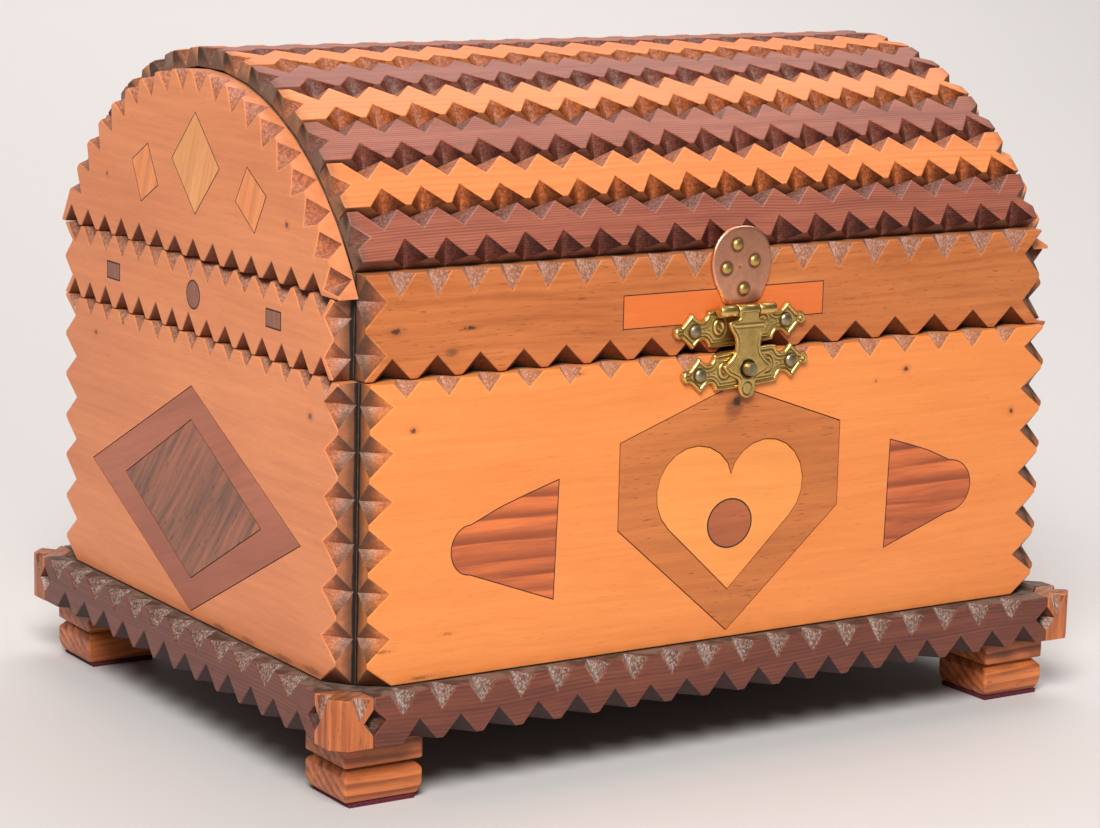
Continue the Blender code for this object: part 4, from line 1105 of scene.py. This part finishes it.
# Outlines as shares of a half length and half height, or of the hasp's half width and length
ORNAMENT_QUARTER = (
    (1.0, 0.0), (0.97, 0.26), (0.92, 0.35), (0.875, 0.29), (0.78, 0.66), (0.72, 0.93), (0.665, 0.7),
    (0.61, 0.52), (0.54, 0.52), (0.5, 0.71), (0.49, 0.97), (0.0, 1.0),
)
HASP_HALF = (
    (0.38, 0.0), (0.38, 0.095), (0.82, 0.12), (0.73, 0.195), (0.52, 0.29), (0.47, 0.375), (0.52, 0.48),
    (0.75, 0.57), (1.0, 0.62), (0.8, 0.705), (0.4, 0.77), (0.32, 0.8), (0.34, 0.88), (0.24, 0.965),
    (0.0, 1.0),
)
COPPER_HALF = (
    (0.45, -1.0), (0.72, -0.72), (0.93, -0.3), (1.0, 0.1), (0.95, 0.42), (0.78, 0.72), (0.5, 0.92),
    (0.18, 1.0),
)


def swell(value, middle, reach):
    """One at the middle, falling smoothly to nothing at the reach."""
    share = max(0.0, 1.0 - abs(value - middle) / reach)
    return share * share * (3.0 - 2.0 * share)


def eased(outline, share=0.18):
    """The outline with each corner cut a little."""
    made = []
    for i, point in enumerate(outline):
        before, after = outline[i - 1], outline[(i + 1) % len(outline)]
        made.append(tuple(p + (q - p) * share for p, q in zip(point, before)))
        made.append(tuple(p + (q - p) * share for p, q in zip(point, after)))
    return made


def curved(outline, parts=5):
    """A smooth closed curve through the corners."""
    made = []
    count = len(outline)
    for i in range(count):
        a, b, c, d = (Vector(outline[(i + k) % count]) for k in (-1, 0, 1, 2))
        square = 2 * a - 5 * b + 4 * c - d
        cube = 3 * b - a - 3 * c + d
        for n in range(parts):
            t = n / parts
            made.append(tuple(0.5 * (2 * b + (c - a) * t + square * t * t + cube * t ** 3)))
    return made


def inside(outline, x, y):
    found = False
    for (ax, ay), (bx, by) in zip(outline, outline[1:] + outline[:1]):
        if (ay > y) != (by > y) and x < ax + (y - ay) * (bx - ax) / (by - ay):
            found = not found
    return found


def edge_distance(outline, x, y):
    best = 1.0
    for (ax, ay), (bx, by) in zip(outline, outline[1:] + outline[:1]):
        dx, dy = bx - ax, by - ay
        run = dx * dx + dy * dy
        share = 0.0 if run == 0.0 else min(1.0, max(0.0, ((x - ax) * dx + (y - ay) * dy) / run))
        best = min(best, (x - ax - dx * share) ** 2 + (y - ay - dy * share) ** 2)
    return math.sqrt(best)


def fine(outline, step):
    """The same outline with points at least this close."""
    made = []
    for a, b in zip(outline, outline[1:] + outline[:1]):
        parts = max(1, math.ceil(math.dist(a, b) / step))
        made += [(a[0] + (b[0] - a[0]) * i / parts, a[1] + (b[1] - a[1]) * i / parts) for i in range(parts)]
    return made


def fill(loops, outline, holes, loose):
    """Triangles between the loops, through the loose points too."""
    points = [Vector(p) for loop in loops for p in loop]
    edges = []
    for loop in loops:
        start = sum(len(other) for other in loops[:loops.index(loop)])
        edges += [(start + i, start + (i + 1) % len(loop)) for i in range(len(loop))]
    spots, _, faces, _, _, _ = delaunay_2d_cdt(points + [Vector(p) for p in loose], edges, [], 0, 1e-7)
    kept = []
    for face in faces:
        x = sum(spots[i].x for i in face) / 3
        y = sum(spots[i].y for i in face) / 3
        if inside(outline, x, y) and not any(inside(hole, x, y) for hole in holes):
            kept.append(face)
    return spots, kept


def hollow_of(bm):
    """The layer that says how deep in a hollow each corner lies."""
    return bm.verts.layers.float.get("hollow") or bm.verts.layers.float.new("hollow")


def relief_sheet(bm, outline, back, front, relief, step=METAL_STEP, holes=(), material=0):
    """A sheet with a relief front; relief(x, y, distance) gives a height and how dark a hollow is."""
    hollow = hollow_of(bm)
    loops = [fine(loop, step) for loop in (outline, *holes)]
    edges = [outline, *holes]
    xs = [p[0] for p in outline]
    ys = [p[1] for p in outline]
    loose = []
    for row in range(int((max(ys) - min(ys)) / step) + 1):
        y = min(ys) + row * step
        for column in range(int((max(xs) - min(xs)) / step) + 1):
            x = min(xs) + (column + 0.5 * (row % 2)) * step
            if inside(outline, x, y) and not any(inside(hole, x, y) for hole in holes):
                if all(edge_distance(loop, x, y) > 0.45 * step for loop in edges):
                    loose.append((x, y))
    spots, faces = fill(loops, outline, holes, loose)
    top = {}
    for i in {i for face in faces for i in face}:
        x, y = spots[i]
        rise, dark = relief(x, y, edge_distance(outline, x, y))
        top[i] = bm.verts.new((x, y, front + rise))
        top[i][hollow] = dark
    for face in faces:
        bm.faces.new([top[i] for i in face]).material_index = material
    start = 0
    under_loops = []
    for number, loop in enumerate(loops):
        under = [bm.verts.new((x, y, back)) for x, y in loop]
        under_loops.append(under)
        for i in range(len(loop)):
            j = (i + 1) % len(loop)
            quad = (top[start + i], under[i], under[j], top[start + j])
            bm.faces.new(quad).material_index = material
        start += len(loop)
    spots, faces = fill(loops, outline, holes, [])
    flat = [vert for under in under_loops for vert in under]
    for face in faces:
        bm.faces.new([flat[i] for i in reversed(face)]).material_index = material


def turned(bm, middle, axis, profile, sides=24, material=0, dark=0.0):
    """A turned solid: (radius, height) pairs round an axis, closed at both ends."""
    hollow = hollow_of(bm)
    turn = Vector(axis).to_track_quat("Z", "Y").to_matrix()
    rings = []
    for radius, height in profile:
        ring = []
        for i in range(sides):
            angle = 2 * math.pi * i / sides
            spot = Vector((radius * math.cos(angle), radius * math.sin(angle), height))
            vert = bm.verts.new(Vector(middle) + turn @ spot)
            vert[hollow] = dark
            ring.append(vert)
        rings.append(ring)
    for lower, upper in zip(rings, rings[1:]):
        bridge(bm, lower, upper, material)
    bm.faces.new(rings[0][::-1]).material_index = material
    bm.faces.new(rings[-1]).material_index = material


def domed(radius, height, sink=0.0004, steps=7):
    """The profile of a nail's head."""
    profile = [(radius, -sink), (radius, height * 0.12)]
    for i in range(1, steps):
        turn = math.pi / 2 * i / steps
        profile.append((radius * math.cos(turn), height * (0.12 + 0.88 * math.sin(turn))))
    return profile + [(radius * 0.06, height)]


def barrel_profile(radius, length):
    ease = radius * 0.12
    return [(radius * 0.5, 0.0), (radius - ease, 0.0), (radius, ease), (radius, length - ease),
            (radius - ease, length), (radius * 0.5, length)]


def ornament_outline(half_length):
    """Four quarters, alike, round the plate's middle, from its right end anticlockwise."""
    quarter = [(x * half_length, y * ORNAMENT_HALF_HEIGHT) for x, y in ORNAMENT_QUARTER]
    top = quarter + [(-x, y) for x, y in quarter[-2::-1]]
    return eased(top + [(x, -y) for x, y in top[-2:0:-1]])


def ornament_relief(half_length):
    """A raised border, two grooves, a scroll beside the hasp, two dots and a bulb at each end."""
    def relief(x, y, distance):
        across = abs(x)
        rise = -0.0004 * max(0.0, 1.0 - distance / 0.0004) ** 2
        rise += 0.0003 * swell(distance, 0.0006, 0.0006)
        groove = swell(distance, 0.00125, 0.0003)
        if across < 0.64 * half_length:
            groove = max(groove, 0.75 * swell(distance, 0.0022, 0.00026))
        scroll_x, scroll_y = (across - 0.0073) / 0.0021, (y - 0.0003) / 0.0024
        scroll = math.hypot(scroll_x, scroll_y)
        if scroll < 1.35:
            groove = max(swell(scroll, 1.05, 0.16), 0.7 * swell(scroll, 0.42, 0.16) * (scroll_x > -0.2))
            rise += 0.0003 * swell(scroll, 0.72, 0.4)
        for spot in (0.0108, 0.0124):
            groove = max(groove, 1.2 * swell(math.hypot(across - spot, y), 0.0, 0.0003))
        bulb = math.hypot(across - 0.93 * half_length, y)
        rise += 0.0005 * swell(bulb, 0.0, 0.0015)
        groove = max(groove, 0.8 * swell(bulb, 0.0017, 0.0003))
        halo = math.hypot(across - NAIL_OFFSET, y)
        groove = max(groove, 0.9 * swell(halo, NAIL_RADIUS, 0.0007))
        return rise - 0.0002 * groove, min(1.0, groove)
    return relief


def hasp_relief(x, y, distance):
    """A rounded edge, a line inside it, a line under the knuckle and an oval on the tail."""
    rise = -0.0003 * max(0.0, 1.0 - distance / 0.00035) ** 2
    groove = 0.0
    if -0.0192 < y < -0.004:
        groove = swell(distance, 0.00095, 0.00026)
    under = swell(y, -0.0039, 0.0004) * (abs(x) < 0.0052)
    rise += 0.00025 * under
    groove = max(groove, 0.5 * swell(y, -0.0046, 0.0003) * (abs(x) < 0.0052))
    halo = math.hypot(x, y + LOWER_DROP)
    groove = max(groove, swell(halo, STUD_HOLE, 0.0006))
    tail = math.hypot(x / 0.0016, (y + 0.0218) / 0.0018)
    if tail < 1.3:
        groove = max(groove, swell(tail, 1.0, 0.2))
    return rise - 0.0002 * groove, min(1.0, groove)


def copper_relief(x, y, distance):
    """Slightly domed, with tarnish round the nails and low down, and a small dent."""
    rise = -0.0004 * max(0.0, 1.0 - distance / 0.0006) ** 2
    rise -= 0.0003 * (x * x + y * y) / 0.00012
    dark = 0.0
    for across, up in COPPER_NAILS:
        dark = max(dark, 0.9 * swell(math.hypot(x - across, y - up), NAIL_RADIUS * 0.9, 0.0012))
    dark = max(dark, 0.6 * swell(math.hypot(x - 0.004, y + 0.0095), 0.0, 0.0045))
    dark = max(dark, 0.35 * swell(math.hypot(x - 0.002, y - 0.009), 0.0, 0.004))
    dent = swell(math.hypot(x + 0.0010, y + 0.0002), 0.0, 0.0006)
    return rise - 0.0002 * dent, min(1.0, max(dark, dent))


def tilted(bm, tilt, drop):
    """Hangs what is made so far askew, its middle below the hasp's axis."""
    turn = Matrix.Rotation(tilt, 4, "Z")
    for vert in bm.verts:
        vert.co = turn @ vert.co - Vector((0.0, drop, 0.0))


def hardware(name, bm, place, materials, node):
    """A metal piece, made in its own frame, in place of its solid."""
    piece = link(name, bm, place, materials, local=True)
    for polygon in piece.data.polygons:
        polygon.use_smooth = True
    piece.data.set_sharp_from_angle(angle=math.radians(50))
    dress(piece, node)


class TRINKETBOX_OT_hasp(bpy.types.Operator):
    """Make the two ornamental plates, the hasp between them and the copper plate above"""
    bl_idname = "trinket_box.hasp"
    bl_label = "Hasp and Plates"

    def execute(self, context):
        finish = finish_of(context)
        metals = metals_of(finish)
        axis = body_frame((1, 0, 0), (0, 0, 1), (HARDWARE_MIDDLE, RIM_FACE, HASP_AXIS_HEIGHT))
        for level, half_length, tilt, drop, back in (
            ("upper", UPPER_HALF_LENGTH, UPPER_TILT, UPPER_DROP, GAP),
            ("lower", LOWER_HALF_LENGTH, LOWER_TILT, LOWER_DROP, RIM_FACE - FRONT_FACE + GAP),
        ):
            bm = bmesh.new()
            top = back + BRASS_SHEET
            relief_sheet(bm, ornament_outline(half_length), back, top, ornament_relief(half_length))
            for sign in (-1, 1):
                head = domed(NAIL_RADIUS, NAIL_HEIGHT)
                turned(bm, (sign * NAIL_OFFSET, 0, top), OUTWARD, head, material=1)
            if level == "lower":
                turned(bm, (0, 0, top), OUTWARD, STUD_PROFILE, material=1)
            tilted(bm, tilt, drop)
            for start in (-BARREL_HALF, KNUCKLE_HALF + GAP) if level == "upper" else ():
                length = BARREL_HALF - KNUCKLE_HALF - GAP
                turned(bm, (start, 0, AXIS_STAND), ALONG, barrel_profile(BARREL_RADIUS, length), sides=28)
                turned(bm, (start + length * 0.12, -0.0009, AXIS_STAND - 0.0012), ALONG,
                       [(0.0011, 0.0), (0.0011, length * 0.76)], sides=12, dark=0.6)
            hardware(level + "_plate", bm, axis, metals, "hasp_" + level + "_plate")

        bm = bmesh.new()
        right = [(x * HASP_HALF_WIDTH, -y * HASP_LENGTH) for x, y in HASP_HALF]
        outline = eased([(-x, y) for x, y in right] + right[-2::-1], 0.15)
        hole = round_outline(0.0, -LOWER_DROP, STUD_HOLE, STUD_HOLE, 32)
        front = AXIS_STAND + BARREL_RADIUS
        relief_sheet(bm, outline, front - BRASS_SHEET, front, hasp_relief, holes=(hole,))
        knuckle = barrel_profile(BARREL_RADIUS, 2 * KNUCKLE_HALF)
        turned(bm, (-KNUCKLE_HALF, 0, AXIS_STAND), ALONG, knuckle, sides=28)
        hardware("hanging_hasp", bm, axis, metals, "hasp")

        bm = bmesh.new()
        right = [(x * COPPER_HALF_WIDTH, y * COPPER_HALF_HEIGHT) for x, y in COPPER_HALF]
        outline = curved(right + [(-x, y) for x, y in reversed(right)])
        lean = Matrix.Rotation(COPPER_TILT, 2)
        outline = [tuple(lean @ Vector(p)) for p in outline]
        front = GAP + COPPER_SHEET
        relief_sheet(bm, outline, GAP, front, copper_relief, step=0.0003)
        for across, up in COPPER_NAILS:
            head = domed(NAIL_RADIUS * 0.86, NAIL_HEIGHT)
            turned(bm, (across, up, front - 0.0002), OUTWARD, head, material=1, dark=0.3)
        place = body_frame((1, 0, 0), (0, 0, 1), (HARDWARE_MIDDLE, RIM_FACE, COPPER_MIDDLE))
        copper = metal("rubbed copper", finish.copper_bright, finish.copper_dull, 0.35, 0.25)
        hardware("nailed_copper", bm, place, [copper, metals[0]], "copper_plate")
        return {"FINISHED"}


def screw_relief(x, y, distance):
    slot = 1.0 if abs(y) < 0.00028 else 0.0
    rise = 0.0005 * (1.0 - (x * x + y * y) / 0.0000032)
    return rise - 0.0004 * slot - 0.0002 * max(0.0, 1.0 - distance / 0.0003), slot


def leaf_relief(x, y, distance):
    return -0.0003 * max(0.0, 1.0 - distance / 0.0004) ** 2, 0.6 * swell(distance, 0.0, 0.0006)


# The lid's hinges: how far each is from the middle, and a leaf's sizes and screws
HINGE_PLACE = 0.07
HINGE_RADIUS = 0.0022
KNUCKLES = 3
LEAF_HALF = 0.0125
LEAF_START = 0.0025
LEAF_END = 0.0185
LEAF_CORNER = 0.003
LEAF_SHEET = 0.001
SCREW_RADIUS = 0.0018
SCREWS = ((-0.0085, 0.0125), (0.0, 0.0082), (0.0085, 0.0125))


def hinge_leaf(leaf, screws_before):
    """A leaf in the frame of its hinge, the box's below the axis and the lid's above it."""
    bm = bmesh.new()
    up = -1 if leaf == "box" else 1
    half, corner = LEAF_HALF, LEAF_CORNER
    outline = [
        (-half, up * LEAF_START), (half, up * LEAF_START), (half, up * (LEAF_END - corner)),
        (half - corner, up * LEAF_END), (-half + corner, up * LEAF_END), (-half, up * (LEAF_END - corner)),
    ]
    relief_sheet(bm, outline[::up], 0.0, LEAF_SHEET, leaf_relief, step=0.0006)
    run = 2 * half / KNUCKLES
    for i in range(0 if leaf == "box" else 1, KNUCKLES, 2):
        low = -half + i * run + GAP / 2
        turned(bm, (low, 0, HINGE_RADIUS), ALONG, barrel_profile(HINGE_RADIUS, run - GAP), sides=28)
        turned(bm, (low + 0.0003, up * 0.0016, 0.0011), ALONG,
               [(0.0011, 0.0), (0.0011, run - GAP - 0.0006)], sides=12)
    for number, (across, rise) in enumerate(SCREWS, screws_before):
        first = len(bm.verts)
        relief_sheet(bm, round_outline(0.0, 0.0, SCREW_RADIUS, SCREW_RADIUS, 20), LEAF_SHEET - 0.0003,
                     LEAF_SHEET + 0.0002, screw_relief, step=0.0003, material=1)
        bm.verts.ensure_lookup_table()
        turn = Matrix.Rotation(0.7 + 1.3 * number, 4, "Z")
        for vert in bm.verts[first:]:
            vert.co = turn @ vert.co + Vector((across, up * rise, 0.0))
    return bm


class TRINKETBOX_OT_hinges(bpy.types.Operator):
    """Make the four leaves of the two lid hinges, with their barrels and slotted screws"""
    bl_idname = "trinket_box.hinges"
    bl_label = "Lid Hinges"

    def execute(self, context):
        finish = finish_of(context)
        axis_height = (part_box("carved_back")[1].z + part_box("lid_rim_back")[0].z) / 2
        back_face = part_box("carved_back")[1].y
        screws_before = 0
        for side, sign in (("left", -1), ("right", 1)):
            place = body_frame((-1, 0, 0), (0, 0, 1), (sign * HINGE_PLACE, back_face + GAP, axis_height))
            for leaf in ("box", "lid"):
                name = side + "_" + leaf + "_leaf"
                hardware(name, hinge_leaf(leaf, screws_before), place, metals_of(finish), "hinge_" + name)
                screws_before += len(SCREWS)
        return {"FINISHED"}


# The floor bends up into a backdrop behind the box
FLOOR_START = -3.0
FLOOR_HALF_WIDTH = 4.0
BEND_START = 0.35
BEND = 1.1
BEND_STEPS = 12
BACKDROP_TOP = 4.0
# Each light's place, what it's turned to, its size in metres and its power in watts
LIGHTS = (
    ("top light", (0.62, 0.55, 1.15), (0.70, 0.75, 0.0), 1.3, 15.5),
    ("front light", (-0.68, -0.9, 1.08), (0.0, 0.0, 0.1), 0.6, 29.5),
)


class TRINKETBOX_OT_stage(bpy.types.Operator):
    """Set up the pale floor, the soft lights and the camera"""
    bl_idname = "trinket_box.stage"
    bl_label = "Stage"

    def execute(self, context):
        finish = finish_of(context)
        scene = context.scene
        scene.view_settings.view_transform = "Standard"
        bm = bmesh.new()
        profile = [(FLOOR_START, 0.0), (BEND_START, 0.0)]
        for i in range(1, BEND_STEPS + 1):
            turn = math.pi / 2 * i / BEND_STEPS
            profile.append((BEND_START + BEND * math.sin(turn), BEND * (1 - math.cos(turn))))
        profile.append((BEND_START + BEND, BACKDROP_TOP))
        rows = [[bm.verts.new((x, y, z)) for y, z in profile] for x in (-FLOOR_HALF_WIDTH, FLOOR_HALF_WIDTH)]
        for i in range(len(profile) - 1):
            bm.faces.new((rows[0][i], rows[1][i], rows[1][i + 1], rows[0][i + 1]))
        floor_finish = flat_finish("floor", finish.floor_grey, finish.floor_grey, 3.0, 0.75)
        floor = link("floor", bm, Matrix.Rotation(-CAMERA_YAW, 4, "Z"), [floor_finish])
        for polygon in floor.data.polygons:
            polygon.use_smooth = True
        world = bpy.data.worlds.new("studio")
        world.use_nodes = True
        world.node_tree.nodes["Background"].inputs["Color"].default_value = (1.0, 0.985, 0.97, 1.0)
        world.node_tree.nodes["Background"].inputs["Strength"].default_value = 0.12
        scene.world = world
        for name, spot, aim, size, power in LIGHTS:
            lamp = bpy.data.lights.new(name, "AREA")
            lamp.size = size
            lamp.energy = power
            light = bpy.data.objects.new(name, lamp)
            scene.collection.objects.link(light)
            light.location = spot
            light.rotation_mode = "QUATERNION"
            light.rotation_quaternion = (Vector(spot) - Vector(aim)).to_track_quat("Z", "Y")
        lens = bpy.data.cameras.new("camera")
        lens.lens = CAMERA_LENS
        lens.sensor_width = 36.0
        camera = bpy.data.objects.new("camera", lens)
        scene.collection.objects.link(camera)
        ahead = Vector((
            math.sin(CAMERA_YAW) * math.cos(CAMERA_PITCH),
            math.cos(CAMERA_YAW) * math.cos(CAMERA_PITCH),
            -math.sin(CAMERA_PITCH),
        ))
        level = ahead.cross(Vector((0, 0, 1))).normalized()
        above = level.cross(ahead)
        right = level * math.cos(CAMERA_ROLL) + above * math.sin(CAMERA_ROLL)
        upward = above * math.cos(CAMERA_ROLL) - level * math.sin(CAMERA_ROLL)
        matrix = Matrix((right, upward, -ahead)).transposed().to_4x4()
        matrix.translation = Vector(CAMERA_PLACE)
        camera.matrix_world = matrix
        scene.camera = camera
        return {"FINISHED"}


class TRINKETBOX_PT_panel(bpy.types.Panel):
    """Lists the steps that finish the box"""
    bl_idname = "TRINKETBOX_PT_panel"
    bl_label = "Trinket Box"
    bl_space_type = "VIEW_3D"
    bl_region_type = "UI"
    bl_category = "Trinket Box"

    def draw(self, context):
        for operator in OPERATORS:
            self.layout.operator(operator.bl_idname)
        for name in BoxFinish.__annotations__:
            self.layout.prop(context.scene.trinket_box, name)


OPERATORS = (
    TRINKETBOX_OT_stage, TRINKETBOX_OT_plates, TRINKETBOX_OT_rims, TRINKETBOX_OT_slats, TRINKETBOX_OT_base,
    TRINKETBOX_OT_inner_boards, TRINKETBOX_OT_inlays, TRINKETBOX_OT_hasp,
    TRINKETBOX_OT_hinges,
)
CLASSES = (BoxFinish, *OPERATORS, TRINKETBOX_PT_panel)


def register():
    for item in CLASSES:
        bpy.utils.register_class(item)
    bpy.types.Scene.trinket_box = bpy.props.PointerProperty(type=BoxFinish)


def unregister():
    del bpy.types.Scene.trinket_box
    for item in reversed(CLASSES):
        bpy.utils.unregister_class(item)


def main():
    register()
    bpy.ops.trinket_box.stage()
    bpy.ops.trinket_box.plates()
    bpy.ops.trinket_box.rims()
    bpy.ops.trinket_box.slats()
    bpy.ops.trinket_box.base()
    bpy.ops.trinket_box.inner_boards()
    bpy.ops.trinket_box.inlays()
    bpy.ops.trinket_box.hasp()
    bpy.ops.trinket_box.hinges()


if __name__ == "__main__":
    main()
